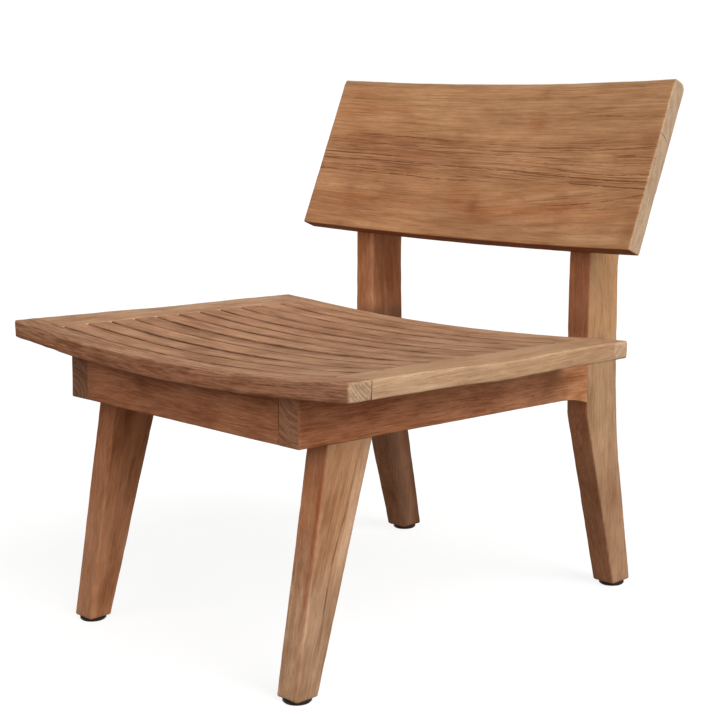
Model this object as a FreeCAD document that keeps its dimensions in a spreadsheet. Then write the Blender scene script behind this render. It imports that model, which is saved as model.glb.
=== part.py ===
"""Low lounge chair without arms, in solid teak: dished slatted seat, apron box, raked legs, curved back."""

import FreeCAD, Part
import math
import os
import re

import Sketcher

Vector = FreeCAD.Vector
Rotation = FreeCAD.Rotation
Placement = FreeCAD.Placement

# Driving dimensions in millimetres, angles in degrees.
# Setbacks are measured from the front edge of the seat, heights from the floor.
SIZES = {
    # seat, measured square to its own surface
    "seat_width": 650.0,
    "seat_length": 493.5,
    "seat_height": 397.0,
    "seat_tilt": 2.0,
    "deck_thickness": 23.0,
    "front_dish": 17.0,
    "front_edge_dish": 5.0,
    "rear_dish": 12.5,
    "rear_edge_dish": 3.0,
    "front_rail_depth": 35.5,
    "rear_rail_depth": 32.0,
    "side_rail_width": 60.0,
    "slat_count": 11,
    "slat_gap": 3.2,
    "tongue_thickness": 8.0,
    "tongue_length": 9.5,
    "groove_depth": 10.0,
    "rail_tenon_length": 18.0,
    "rail_tenon_width": 32.0,
    "rail_tenon_thickness": 8.0,
    "joint_clearance": 0.2,
    "deck_clearance": 0.3,
    # aprons
    "frame_inset": 101.6,
    "frame_thickness": 36.0,
    "apron_setback": 21.8,
    "apron_drop": 93.0,
    "apron_flare_drop": 9.0,
    "apron_flare_length": 56.0,
    "cross_apron_thickness": 30.0,
    "rear_apron_inset": 20.0,
    "rear_apron_height": 50.0,
    "apron_tenon_length": 20.0,
    "apron_tenon_thickness": 12.0,
    "apron_tenon_height": 32.0,
    "apron_tenon_shoulder": 5.0,
    # seat supports
    "batten_width": 40.0,
    "batten_thickness": 20.0,
    "cleat_width": 20.0,
    "cleat_height": 24.0,
    # front legs
    "front_leg_inset": 42.1,
    "front_leg_top_depth": 71.3,
    "front_leg_rake": 56.0,
    "front_foot_depth": 33.2,
    "leg_tenon_length": 28.0,
    "leg_tenon_width": 40.0,
    "leg_tenon_thickness": 12.0,
    # rear legs
    "post_gap": 49.0,
    "post_depth": 63.5,
    "rear_leg_rake": 64.6,
    "rear_foot_depth": 38.0,
    "front_knee_drop": 17.0,
    "back_knee_drop": 37.5,
    "back_knee_blend": 78.0,
    "post_bend_drop": 19.6,
    "post_bend_blend": 36.0,
    "post_lean": 2.8,
    "post_top_margin": 36.0,
    "post_top_depth": 23.0,
    "cope_allowance": 6.0,
    # back board
    "board_width": 616.9,
    "board_height": 235.0,
    "board_thickness": 25.0,
    "board_dish": 17.2,
    "board_rake": 23.9,
    "board_lead": 30.0,
    "board_rise": 95.6,
    "board_bevel_height": 10.0,
    "board_bevel_depth": 1.6,
    "board_round": 10.0,
    # glides and their nails
    "glide_height": 5.0,
    "glide_diameter": 35.0,
    "glide_bevel": 1.5,
    "nail_diameter": 3.0,
    "nail_length": 24.0,
    "nail_head_diameter": 8.0,
    "nail_head_thickness": 1.2,
    "nail_head_recess": 2.0,
    # wood screws and plugs
    "screw_diameter": 4.0,
    "screw_head_diameter": 8.0,
    "screw_head_height": 3.0,
    "screw_tip_length": 5.0,
    "screw_bite": 14.0,
    "screw_clearance": 0.15,
    "cleat_screw_count": 3,
    "cleat_screw_margin": 60.0,
    "seat_screw_count": 4,
    "board_screw_count": 2,
    "board_screw_low_margin": 46.0,
    "board_screw_high_margin": 41.6,
    "plug_diameter": 12.0,
    "plug_length": 10.0,
    # how far every cutting tool runs past what it cuts
    "overrun": 5.0,
}

doc = FreeCAD.newDocument("lounge_chair")
sheet = doc.addObject("Spreadsheet::Sheet", "Sizes")
for row, (alias, size) in enumerate(SIZES.items(), start=1):
    sheet.set("A%d" % row, alias)
    sheet.set("B%d" % row, str(size))
    sheet.setAlias("B%d" % row, alias)
doc.recompute()

WORDS = re.compile(r"\b(%s)\b" % "|".join(SIZES))


def formula(words):
    """The sheet's own form of a formula that is written with the names of the sizes."""
    return WORDS.sub(r"Sizes.\1", str(words))


def number(words):
    """What a formula comes to now."""
    return float(sheet.evalExpression(formula(words)))


def bind(item, prop, words):
    item.setExpression(prop, formula(words))


# Places that several pieces share, as formulas.
HALF_WIDTH = "(seat_width / 2)"
RAIL_INNER = "(seat_width / 2 - side_rail_width)"
FRAME_INNER = "(seat_width / 2 - frame_inset - frame_thickness)"
FRAME_MIDDLE = "(seat_width / 2 - frame_inset - frame_thickness / 2)"
SLATS_START = "front_rail_depth"
SLATS_END = "(seat_length - rear_rail_depth)"
SLAT_WIDTH = "((seat_length - rear_rail_depth - front_rail_depth - (slat_count + 1) * slat_gap) / slat_count)"
FRONT_LEG_TOP = "(apron_setback + front_leg_inset)"
FRONT_FOOT = "(apron_setback + front_leg_inset - front_leg_rake)"
POST_FRONT = "(seat_length * cos(seat_tilt) + post_gap)"
POST_BACK = "(%s + post_depth)" % POST_FRONT
REAR_FOOT = "(%s + rear_leg_rake)" % POST_FRONT
REAR_FOOT_BACK = "(%s + rear_foot_depth)" % REAR_FOOT
BOARD_FRONT = "(%s - board_lead)" % POST_FRONT
BOARD_BASE = "(seat_height + board_rise)"
# Half of the whole depth, from the lowest front edge of the seat to the back of the rear feet.
ORIGIN_BACK = "((%s - (deck_thickness + front_dish) * sin(seat_tilt)) / 2)" % REAR_FOOT_BACK
FRONT_APRON_BACK = "(apron_setback + cross_apron_thickness)"


def dish(place):
    """Depth of the seat's hollow on the centre line, at a place along the seat."""
    return "(front_dish + (rear_dish - front_dish) * (%s) / seat_length)" % place


def edge_dish(place):
    """Depth of the hollow where the side rail meets the slats."""
    return "(front_edge_dish + (rear_edge_dish - front_edge_dish) * (%s) / seat_length)" % place


def seat_arc(place):
    """Radius of the hollow between the side rails."""
    rise = "(%s - %s)" % (dish(place), edge_dish(place))
    return "((%s ^ 2 + %s ^ 2) / (2 * %s))" % (RAIL_INNER, rise, rise)


def hollow(place, across):
    """Depth of the hollow between the side rails at a place along and across the seat."""
    radius = seat_arc(place)
    return "(%s - %s + sqrt(%s ^ 2 - (%s) ^ 2))" % (dish(place), radius, radius, across)


def deck_back(setback, height):
    """Where a plumb line at a setback crosses a level of the tilted seat, along the seat."""
    return "((%s - (%s) * sin(seat_tilt)) / cos(seat_tilt))" % (setback, height)


def floor_height(setback, level):
    """Height above the floor of a level of the tilted seat, at a setback."""
    return "(seat_height + ((%s) - (%s) * sin(seat_tilt)) / cos(seat_tilt))" % (level, setback)


REAR_APRON_FRONT = "(%s + rear_apron_inset)" % deck_back(POST_FRONT, "-apron_drop")


class Arc:
    """Marks the edge from a corner as an arc. bulge is 1 to the right of the way, -1 to the left."""

    def __init__(self, across, up, radius, bulge):
        self.across = across
        self.up = up
        self.radius = radius
        self.bulge = bulge


def arc_between(start, end, radius, bulge):
    """A circular arc from start to end, with its middle to the right of the way when bulge is 1."""
    way = end - start
    right = Vector(way.y, -way.x, 0).normalize()
    reach = math.sqrt(max(radius ** 2 - (way.Length / 2) ** 2, 0))
    centre = (start + end) * 0.5 - right * reach * bulge
    first, last = (start, end) if bulge > 0 else (end, start)
    turn = [math.atan2((p - centre).y, (p - centre).x) for p in (first, last)]
    return Part.ArcOfCircle(Part.Circle(centre, Vector(0, 0, 1), radius), turn[0], turn[1])


def draw(sketch, corners):
    """A closed outline: each corner is a pair of formulas, or an Arc where the next edge is curved."""
    places = []
    for corner in corners:
        across, up = (corner.across, corner.up) if isinstance(corner, Arc) else corner
        places.append((across, up, Vector(number(across), number(up), 0)))
    edges = []
    for i, corner in enumerate(corners):
        start = places[i][2]
        end = places[(i + 1) % len(corners)][2]
        if isinstance(corner, Arc):
            curve = arc_between(start, end, number(corner.radius), corner.bulge)
            ends = (1, 2) if corner.bulge > 0 else (2, 1)
        else:
            curve = Part.LineSegment(start, end)
            ends = (1, 2)
        edges.append((sketch.addGeometry(curve), ends))
    for i, (edge, ends) in enumerate(edges):
        following, next_ends = edges[(i + 1) % len(edges)]
        sketch.addConstraint(Sketcher.Constraint("Coincident", edge, ends[1], following, next_ends[0]))
        for kind, words, now in (("DistanceX", places[i][0], places[i][2].x),
                                 ("DistanceY", places[i][1], places[i][2].y)):
            which = sketch.addConstraint(Sketcher.Constraint(kind, -1, 1, edge, ends[0], now))
            bind(sketch, "Constraints[%d]" % which, words)
        if isinstance(corners[i], Arc):
            now = number(corners[i].radius)
            which = sketch.addConstraint(Sketcher.Constraint("Radius", edge, now))
            bind(sketch, "Constraints[%d]" % which, corners[i].radius)


def box(left, low, right, high):
    """Corners of a rectangle."""
    return [(left, low), (right, low), (right, high), (left, high)]


def add_body(name):
    body = doc.addObject("PartDesign::Body", name)
    body.Label = name
    return body


def add_sketch(body, plane, outlines, offset="0", in_deck=False):
    """A sketch on a plane of the body, moved along the plane's normal. in_deck turns it with the seat."""
    sketch = body.newObject("Sketcher::SketchObject", body.Name + "_outline")
    support = [f for f in body.Origin.OriginFeatures if f.Role == plane + "_Plane"][0]
    sketch.AttachmentSupport = [(support, "")]
    sketch.MapMode = "FlatFace"
    if in_deck:
        turn = Rotation(Vector(0, 0, 1), -number("seat_tilt"))
        sketch.AttachmentOffset = Placement(Vector(0, number("seat_height"), number(offset)), turn)
        bind(sketch, "AttachmentOffset.Base.y", "seat_height")
        bind(sketch, "AttachmentOffset.Rotation.Angle", "-seat_tilt")
    bind(sketch, "AttachmentOffset.Base.z", offset)
    for outline in outlines:
        draw(sketch, outline)
    return sketch


def add_feature(body, kind, sketch, length, backwards=False, both_ways=False):
    """A Pad or a Pocket of the sketch."""
    feature = body.newObject("PartDesign::" + kind, body.Name + "_" + kind.lower())
    feature.Profile = sketch
    feature.Type = 0
    bind(feature, "Length", length)
    feature.Reversed = backwards
    feature.Midplane = both_ways
    return feature


def pad_along_seat(body, outlines, start, length):
    """Adds outlines seen from the front, from a place along the seat towards the back."""
    sketch = add_sketch(body, "XZ", outlines, "-(%s)" % start)
    return add_feature(body, "Pad", sketch, length, backwards=True)


def pocket_along_seat(body, outlines, start, length, forward):
    """Cuts outlines seen from the front, from a place along the seat towards the back or the front."""
    sketch = add_sketch(body, "XZ", outlines, "-(%s)" % start)
    return add_feature(body, "Pocket", sketch, length, backwards=forward)


def pad_across(body, outlines, middle, width, in_deck=False):
    """Adds outlines seen from the side, centred on a place across the chair."""
    sketch = add_sketch(body, "YZ", outlines, middle, in_deck)
    return add_feature(body, "Pad", sketch, width, both_ways=True)


def pocket_across(body, outlines, middle, width, in_deck=False):
    """Cuts outlines seen from the side, centred on a place across the chair."""
    sketch = add_sketch(body, "YZ", outlines, middle, in_deck)
    return add_feature(body, "Pocket", sketch, width, both_ways=True)


def stand_on_floor(item):
    """Places a piece that is drawn with setbacks and heights."""
    item.Placement = Placement(Vector(0, -number(ORIGIN_BACK), 0), Rotation())
    bind(item, "Placement.Base.y", "-" + ORIGIN_BACK)


def set_in_deck(item):
    """Places a piece that is drawn in the seat's own tilted frame."""
    turn = Rotation(Vector(1, 0, 0), -number("seat_tilt"))
    item.Placement = Placement(Vector(0, -number(ORIGIN_BACK), number("seat_height")), turn)
    bind(item, "Placement.Base.y", "-" + ORIGIN_BACK)
    bind(item, "Placement.Base.z", "seat_height")
    bind(item, "Placement.Rotation.Angle", "-seat_tilt")


def set_on_rake(item):
    """Places a piece that is drawn in the back board's own raked frame."""
    turn = Rotation(Vector(1, 0, 0), -number("board_rake"))
    setback = "%s - %s" % (BOARD_FRONT, ORIGIN_BACK)
    item.Placement = Placement(Vector(0, number(setback), number(BOARD_BASE)), turn)
    bind(item, "Placement.Base.y", setback)
    bind(item, "Placement.Base.z", BOARD_BASE)
    bind(item, "Placement.Rotation.Angle", "-board_rake")


def cut_away(name, base, tools):
    """The piece that is left of a blank once every tool has cut it."""
    for i, tool in enumerate(tools):
        last = i == len(tools) - 1
        cut = doc.addObject("Part::Cut", name if last else "%s_cut_%d" % (name, i + 1))
        cut.Base = base
        cut.Tool = tool
        base = cut
    base.Label = name
    return base


def add_shape(name, shape, place=None):
    """A group of loose small pieces, made from the sizes in the sheet."""
    item = doc.addObject("Part::Feature", name)
    item.Label = name
    item.Shape = shape
    if place:
        place(item)
    return item


def turned(profile):
    """A solid of revolution about Z from a half outline of (radius, height) pairs."""
    corners = [Vector(radius, 0, height) for radius, height in profile]
    face = Part.Face(Part.makePolygon(corners + corners[:1]))
    return face.revolve(Vector(0, 0, 0), Vector(0, 0, 1), 360)


def screw(length, ease=0.0):
    """A countersunk wood screw from its head at 0 up to its tip. With ease it is the hole for one."""
    shank = number("screw_diameter / 2") + ease
    head = number("screw_head_diameter / 2") + ease
    neck = number("screw_head_height") + ease
    outline = [(0, length + ease),
               (shank, length - number("screw_tip_length")),
               (shank, neck),
               (head, ease)]
    if ease:
        outline += [(head, -number("overrun")), (0, -number("overrun"))]
    else:
        outline += [(0, 0)]
    return turned(outline)


def placed(shape, place, direction):
    """A copy of a shape that stands on +Z, moved to a place and turned to a direction."""
    copy = shape.copy()
    copy.Placement = Placement(place, Rotation(Vector(0, 0, 1), direction))
    return copy


# Front and rear rails of the seat

def rail_outline(place):
    """A full width rail seen from the front, with flat ends and a dished middle."""
    low = edge_dish(place)
    arc = seat_arc(place)
    return [Arc("-" + RAIL_INNER, "-" + low, arc, 1),
            (RAIL_INNER, "-" + low),
            (HALF_WIDTH, "0"),
            (HALF_WIDTH, "-deck_thickness"),
            Arc(RAIL_INNER, "-%s - deck_thickness" % low, arc, -1),
            ("-" + RAIL_INNER, "-%s - deck_thickness" % low),
            ("-" + HALF_WIDTH, "-deck_thickness"),
            ("-" + HALF_WIDTH, "0")]


def rail_tenons(place, ease):
    """Both tenons of the side rails, or their mortises, seen from the front."""
    half = "(rail_tenon_width / 2 + %s)" % ease
    middle = "(%s + side_rail_width / 2)" % RAIL_INNER
    level = "(-%s / 2 - deck_thickness / 2)" % edge_dish(place)
    high = "(rail_tenon_thickness / 2 + %s)" % ease
    return [box("%s * %s - %s" % (side, middle, half), "%s - %s" % (level, high),
                "%s * %s + %s" % (side, middle, half), "%s + %s" % (level, high))
            for side in (-1, 1)]


def seat_rail(name, start, depth, slat_side, mortise_forward):
    """A full width rail, with mortises for the side rails in its slat side."""
    rail = add_body(name)
    place = "(%s + (%s) / 2)" % (start, depth)
    pad_along_seat(rail, [rail_outline(place)], start, depth)
    mortises = rail_tenons(slat_side, "joint_clearance")
    pocket_along_seat(rail, mortises, slat_side, "rail_tenon_length + joint_clearance", mortise_forward)
    set_in_deck(rail)
    return rail


# Side rails of the seat

def side_rail_section(side, place):
    low = edge_dish(place)
    inner = "%d * %s" % (side, RAIL_INNER)
    outer = "%d * %s" % (side, HALF_WIDTH)
    return [(inner, "-" + low),
            (inner, "-%s - deck_thickness" % low),
            (outer, "-deck_thickness"),
            (outer, "0")]


def side_rail(name, side):
    rail = add_body(name)
    front = add_sketch(rail, "XZ", [side_rail_section(side, SLATS_START)], "-(%s)" % SLATS_START)
    rear = add_sketch(rail, "XZ", [side_rail_section(side, SLATS_END)], "-(%s)" % SLATS_END)
    loft = rail.newObject("PartDesign::AdditiveLoft", name + "_loft")
    loft.Profile = front
    loft.Sections = [rear]
    loft.Ruled = True
    which = 0 if side < 0 else 1
    for place, start in ((SLATS_START, "front_rail_depth - rail_tenon_length"), (SLATS_END, SLATS_END)):
        pad_along_seat(rail, [rail_tenons(place, "0")[which]], start, "rail_tenon_length")
    half = "(tongue_thickness / 2 + joint_clearance)"
    level = {place: "(-%s - deck_thickness / 2)" % edge_dish(place) for place in (SLATS_START, SLATS_END)}
    groove = [(SLATS_START, "%s - %s" % (level[SLATS_START], half)),
              (SLATS_END, "%s - %s" % (level[SLATS_END], half)),
              (SLATS_END, "%s + %s" % (level[SLATS_END], half)),
              (SLATS_START, "%s + %s" % (level[SLATS_START], half))]
    pocket_across(rail, [groove], "%d * %s" % (side, RAIL_INNER), "2 * groove_depth")
    set_in_deck(rail)
    return rail


# Slats

def slat(name, index):
    """One dished slat with a tongue at each end. index counts from 0 at the front."""
    body = add_body(name)
    start = "(front_rail_depth + slat_gap + %d * (%s + slat_gap))" % (index, SLAT_WIDTH)
    place = "(%s + %s / 2)" % (start, SLAT_WIDTH)
    low = edge_dish(place)
    arc = seat_arc(place)
    outline = [Arc("-" + RAIL_INNER, "-" + low, arc, 1),
               (RAIL_INNER, "-" + low),
               Arc(RAIL_INNER, "-%s - deck_thickness" % low, arc, -1),
               ("-" + RAIL_INNER, "-%s - deck_thickness" % low)]
    pad_along_seat(body, [outline], start, SLAT_WIDTH)
    bottom = "(-%s - deck_thickness / 2 - tongue_thickness / 2)" % low
    top = "(-%s - deck_thickness / 2 + tongue_thickness / 2)" % low
    root = "(%s - overrun)" % RAIL_INNER
    tip = "(%s + tongue_length)" % RAIL_INNER
    tongues = [box("-" + tip, bottom, "-" + root, top), box(root, bottom, tip, top)]
    pad_along_seat(body, tongues, start, SLAT_WIDTH)
    set_in_deck(body)
    return body


# The underside of the seat, as the tool that shapes everything it rests on

def underside_section(place):
    low = "(-%s - deck_thickness - deck_clearance)" % edge_dish(place)
    return [Arc("-" + RAIL_INNER, low, seat_arc(place), 1),
            (RAIL_INNER, low),
            (RAIL_INNER, "overrun"),
            ("-" + RAIL_INNER, "overrun")]


def underside_tool():
    tool = add_body("seat_underside")
    places = ("-overrun", POST_BACK)
    sections = [add_sketch(tool, "XZ", [underside_section(p)], "-(%s)" % p) for p in places]
    loft = tool.newObject("PartDesign::AdditiveLoft", "seat_underside_loft")
    loft.Profile = sections[0]
    loft.Sections = [sections[1]]
    loft.Ruled = True
    set_in_deck(tool)
    return tool


# Aprons

APRON_MIDDLE_LEVEL = "(-apron_drop + apron_tenon_shoulder + apron_tenon_height / 2)"


def side_apron_blank(name, side):
    """Side apron with a flared rear end, mortised for the front leg and the front apron."""
    body = add_body(name)
    middle = "%d * %s" % (side, FRAME_MIDDLE)
    bottom = "-apron_drop"
    flare_bottom = "(-apron_drop - apron_flare_drop)"
    flare_radius = "((apron_flare_length ^ 2 + apron_flare_drop ^ 2) / (2 * apron_flare_drop))"
    rear_low = deck_back(POST_FRONT, flare_bottom)
    rear_high = deck_back(POST_FRONT, "0")
    outline = [("apron_setback", bottom),
               Arc("%s - apron_flare_length" % rear_low, bottom, flare_radius, -1),
               (rear_low, flare_bottom),
               (rear_high, "0"),
               ("apron_setback", "0")]
    pad_across(body, [outline], middle, "frame_thickness")
    # tenon into the rear leg
    tenon_start = deck_back(POST_FRONT, "-apron_drop")
    tenon = box("%s - overrun" % tenon_start, APRON_MIDDLE_LEVEL + " - apron_tenon_height / 2",
                "%s + apron_tenon_length" % tenon_start, APRON_MIDDLE_LEVEL + " + apron_tenon_height / 2")
    pad_across(body, [tenon], middle, "apron_tenon_thickness")
    # mortise for the front leg
    pocket_across(body, [leg_tenon("joint_clearance")], middle, "leg_tenon_thickness + 2 * joint_clearance")
    # mortise for the front apron
    mortise = apron_tenon_side("apron_setback", "joint_clearance")
    inner = "%d * %s" % (side, FRAME_INNER)
    pocket_across(body, [mortise], inner, "2 * (apron_tenon_length + joint_clearance)")
    set_in_deck(body)
    return body


def apron_tenon_side(front, ease):
    """A cross apron's tenon, or its mortise, seen from the side."""
    middle = "(%s + cross_apron_thickness / 2)" % front
    return box("%s - apron_tenon_thickness / 2 - %s" % (middle, ease),
               "%s - apron_tenon_height / 2 - %s" % (APRON_MIDDLE_LEVEL, ease),
               "%s + apron_tenon_thickness / 2 + %s" % (middle, ease),
               "%s + apron_tenon_height / 2 + %s" % (APRON_MIDDLE_LEVEL, ease))


def cross_apron_blank(name, front, top):
    """An apron between the two side frames, with a tenon at each end."""
    body = add_body(name)
    outline = box(front, "-apron_drop", "%s + cross_apron_thickness" % front, top)
    pad_across(body, [outline], "0", "2 * " + FRAME_INNER)
    pad_across(body, [apron_tenon_side(front, "0")], "0", "2 * (%s + apron_tenon_length)" % FRAME_INNER)
    set_in_deck(body)
    return body


# Front legs

def leg_tenon(ease):
    """The front leg's tenon, or its mortise in the apron, in the seat's frame seen from the side."""
    middle = deck_back(FRONT_LEG_TOP + " + front_leg_top_depth / 2", "-apron_drop")
    half = "(leg_tenon_width / 2 + %s)" % ease
    return box("%s - %s" % (middle, half), "-apron_drop - overrun",
               "%s + %s" % (middle, half), "-apron_drop + leg_tenon_length + %s" % ease)


def front_leg_blank(name, side):
    body = add_body(name)
    middle = "%d * %s" % (side, FRAME_MIDDLE)
    back = "(%s + front_leg_top_depth)" % FRONT_LEG_TOP
    outline = [(FRONT_FOOT, "glide_height"),
               (FRONT_FOOT + " + front_foot_depth", "glide_height"),
               (back, floor_height(back, "-apron_drop")),
               (FRONT_LEG_TOP, floor_height(FRONT_LEG_TOP, "-apron_drop"))]
    pad_across(body, [outline], middle, "frame_thickness")
    pad_across(body, [leg_tenon("0")], middle, "leg_tenon_thickness", in_deck=True)
    stand_on_floor(body)
    return body


# Rear legs

def rear_leg_blank(name, side):
    """Rear leg and post in one: raked foot, upright middle, and a raked top that the back board lies on."""
    body = add_body(name)
    middle = "%d * %s" % (side, FRAME_MIDDLE)
    apron_bottom = floor_height(POST_FRONT, "-apron_drop - apron_flare_drop")
    front_knee = "(%s - front_knee_drop)" % apron_bottom
    back_knee = "(%s - back_knee_drop)" % apron_bottom
    bend = "(%s - post_bend_drop)" % BOARD_BASE
    lean = "atan((%s - %s) / (%s - glide_height))" % (REAR_FOOT_BACK, POST_BACK, back_knee)
    rise = "(board_height - post_top_margin)"
    # the back face of the board's ends, brought forward so that the board's own shape cuts the post
    face = "(board_thickness + board_dish / 2 - cope_allowance)"
    top_front = ("(%s + %s * sin(board_rake) + %s * cos(board_rake))" % (BOARD_FRONT, rise, face),
                 "(%s + %s * cos(board_rake) - %s * sin(board_rake))" % (BOARD_BASE, rise, face))
    depth = "(post_top_depth + cope_allowance)"
    top_back = ("(%s + %s * cos(board_rake))" % (top_front[0], depth),
                "(%s - %s * sin(board_rake))" % (top_front[1], depth))
    upper_lean = "atan((%s - %s) / (%s - %s))" % (top_back[0], POST_BACK, top_back[1], bend)
    # above the seat the front face leans back a little
    lean_top = "(%s + post_lean)" % POST_FRONT
    rake_start = "(%s - (%s - %s) / tan(board_rake))" % (top_front[1], top_front[0], lean_top)
    outline = [(REAR_FOOT, "glide_height"),
               (REAR_FOOT_BACK, "glide_height"),
               Arc("%s + back_knee_blend * sin(%s)" % (POST_BACK, lean),
                   "%s - back_knee_blend * cos(%s)" % (back_knee, lean),
                   "back_knee_blend / tan(%s / 2)" % lean, -1),
               (POST_BACK, back_knee + " + back_knee_blend"),
               Arc(POST_BACK, bend + " - post_bend_blend",
                   "post_bend_blend / tan(%s / 2)" % upper_lean, -1),
               ("%s + post_bend_blend * sin(%s)" % (POST_BACK, upper_lean),
                "%s + post_bend_blend * cos(%s)" % (bend, upper_lean)),
               top_back,
               top_front,
               (lean_top, rake_start),
               (POST_FRONT, floor_height(POST_FRONT, "0")),
               (POST_FRONT, front_knee)]
    pad_across(body, [outline], middle, "frame_thickness")
    # mortise for the side apron
    start = deck_back(POST_FRONT, "-apron_drop")
    mortise = box("%s - overrun" % start, APRON_MIDDLE_LEVEL + " - apron_tenon_height / 2 - joint_clearance",
                  "%s + apron_tenon_length + joint_clearance" % start,
                  APRON_MIDDLE_LEVEL + " + apron_tenon_height / 2 + joint_clearance")
    pocket_across(body, [mortise], middle, "apron_tenon_thickness + 2 * joint_clearance", in_deck=True)
    # mortise for the rear apron
    inner = "%d * %s" % (side, FRAME_INNER)
    pocket_across(body, [apron_tenon_side(REAR_APRON_FRONT, "joint_clearance")], inner,
                  "2 * (apron_tenon_length + joint_clearance)", in_deck=True)
    stand_on_floor(body)
    return body


# Back board

BOARD_ARC = "(((board_width / 2) ^ 2 + board_dish ^ 2) / (2 * board_dish))"


def board_blank(name, ease):
    """The curved board, or with ease the space it needs in the posts."""
    body = add_body(name)
    half = "(board_width / 2 + %s)" % ease
    front = "(-(%s))" % ease
    back = "(board_thickness + %s)" % ease
    outline = [Arc("-" + half, front, BOARD_ARC, -1),
               (half, front),
               Arc(half, back, BOARD_ARC, 1),
               ("-" + half, back)]
    sketch = add_sketch(body, "XY", [outline], front)
    add_feature(body, "Pad", sketch, "board_height + 2 * (%s)" % ease)
    set_on_rake(body)
    return body


def board_curve(across):
    """How far the board's curve stands behind its ends, at a place across."""
    return "(board_dish - %s + sqrt(%s ^ 2 - (%s) ^ 2))" % (BOARD_ARC, BOARD_ARC, across)


def edge_middle(edge):
    return edge.valueAt((edge.FirstParameter + edge.LastParameter) / 2)


def add_dressing(body, kind, setback):
    """A chamfer or fillet on the long top edge of the board that stands at a setback on the centre line."""
    doc.recompute()
    tip = body.Tip
    goal = Vector(0, number(setback), number("board_height"))
    best = min(range(len(tip.Shape.Edges)),
               key=lambda i: (edge_middle(tip.Shape.Edges[i]) - goal).Length)
    dressing = body.newObject("PartDesign::" + kind, "%s_%s" % (body.Name, kind.lower()))
    dressing.Base = (tip, ["Edge%d" % (best + 1)])
    return dressing


def dress_board(body):
    """The long bevel along the top of the front face, and the round top edge of the rear face."""
    bevel = add_dressing(body, "Chamfer", "board_dish")
    bevel.ChamferType = "Two distances"
    bind(bevel, "Size", "board_bevel_height")
    bind(bevel, "Size2", "board_bevel_depth")
    fillet = add_dressing(body, "Fillet", "board_dish + board_thickness")
    bind(fillet, "Radius", "board_round")


# Seat supports

def batten_bottom(place):
    return "(-%s - deck_thickness - deck_clearance - batten_thickness)" % dish(place)


def centre_batten_blank(name):
    body = add_body(name)
    outline = [(FRONT_APRON_BACK, batten_bottom(FRONT_APRON_BACK)),
               (REAR_APRON_FRONT, batten_bottom(REAR_APRON_FRONT)),
               (REAR_APRON_FRONT, "0"),
               (FRONT_APRON_BACK, "0")]
    pad_across(body, [outline], "0", "batten_width")
    set_in_deck(body)
    return body


CLEAT_ACROSS = "(%s - cleat_width / 2)" % FRAME_INNER


def cleat_bottom(place):
    return "(-%s - deck_thickness - deck_clearance - cleat_height)" % hollow(place, CLEAT_ACROSS)


def seat_cleat_blank(name, side):
    body = add_body(name)
    outline = [(FRONT_APRON_BACK, cleat_bottom(FRONT_APRON_BACK)),
               (SLATS_END, cleat_bottom(SLATS_END)),
               (SLATS_END, "0"),
               (FRONT_APRON_BACK, "0")]
    pad_across(body, [outline], "%d * %s" % (side, CLEAT_ACROSS), "cleat_width")
    set_in_deck(body)
    return body


# Fasteners

def screw_line(index):
    """Place along the seat of a slat's screws: the middle of what lies behind the front apron."""
    start = number("front_rail_depth + slat_gap + %d * (%s + slat_gap)" % (index, SLAT_WIDTH))
    end = start + number(SLAT_WIDTH)
    return (max(start, number(FRONT_APRON_BACK)) + end) / 2


def batten_screws(ease=0.0):
    """One screw up through the centre batten into every slat."""
    length = number("batten_thickness + deck_clearance + screw_bite")
    shapes = []
    for index in range(int(number("slat_count"))):
        place = screw_line(index)
        start = Vector(0, place, number(batten_bottom(place)))
        shapes.append(placed(screw(length, ease), start, Vector(0, 0, 1)))
    return Part.makeCompound(shapes)


def screwed_slats():
    """Indices of the slats that the cleats are screwed to, spread evenly from the first to the last."""
    last = int(number("slat_count")) - 1
    count = int(number("seat_screw_count"))
    return [round(last * i / (count - 1)) for i in range(count)]


def seat_screws(ease=0.0):
    """Screws up through both cleats into some of the slats."""
    across = number(CLEAT_ACROSS)
    length = number("cleat_height + deck_clearance + screw_bite")
    shapes = []
    for index in screwed_slats():
        place = screw_line(index)
        for side in (-1, 1):
            start = Vector(side * across, place, number(cleat_bottom(place)))
            shapes.append(placed(screw(length, ease), start, Vector(0, 0, 1)))
    return Part.makeCompound(shapes)


def cleat_screws(ease=0.0):
    """Screws through both cleats into the side aprons."""
    length = number("cleat_width + screw_bite")
    inner = number("%s - cleat_width" % FRAME_INNER)
    first = number(FRONT_APRON_BACK + " + cleat_screw_margin")
    last = number(SLATS_END + " - cleat_screw_margin")
    count = int(number("cleat_screw_count"))
    shapes = []
    for index in range(count):
        place = first + (last - first) * index / (count - 1)
        level = number(cleat_bottom(place) + " + cleat_height / 2")
        for side in (-1, 1):
            start = Vector(side * inner, place, level)
            shapes.append(placed(screw(length, ease), start, Vector(side, 0, 0)))
    return Part.makeCompound(shapes)


def board_screw_places(post):
    """Centres of the board's screws on its rear face and the post's depth there, in the board's frame."""
    across = number(FRAME_MIDDLE)
    low = number("board_screw_low_margin")
    high = number("board_height - post_top_margin - board_screw_high_margin")
    count = int(number("board_screw_count"))
    back = number("board_thickness + %s" % board_curve(FRAME_MIDDLE))
    reach = Vector(0, number("post_depth + post_gap"), 0)
    frame = Placement(Vector(0, number(BOARD_FRONT) - number(ORIGIN_BACK), number(BOARD_BASE)),
                      Rotation(Vector(1, 0, 0), -number("board_rake")))
    places = []
    for index in range(count):
        rise = low + (high - low) * index / (count - 1)
        start = Vector(across, back, rise)
        line = Part.LineSegment(frame.multVec(start), frame.multVec(start + reach)).toShape()
        depth = line.common(post.Shape).Length
        places += [(Vector(side * across, back, rise), depth) for side in (-1, 1)]
    return places


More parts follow.
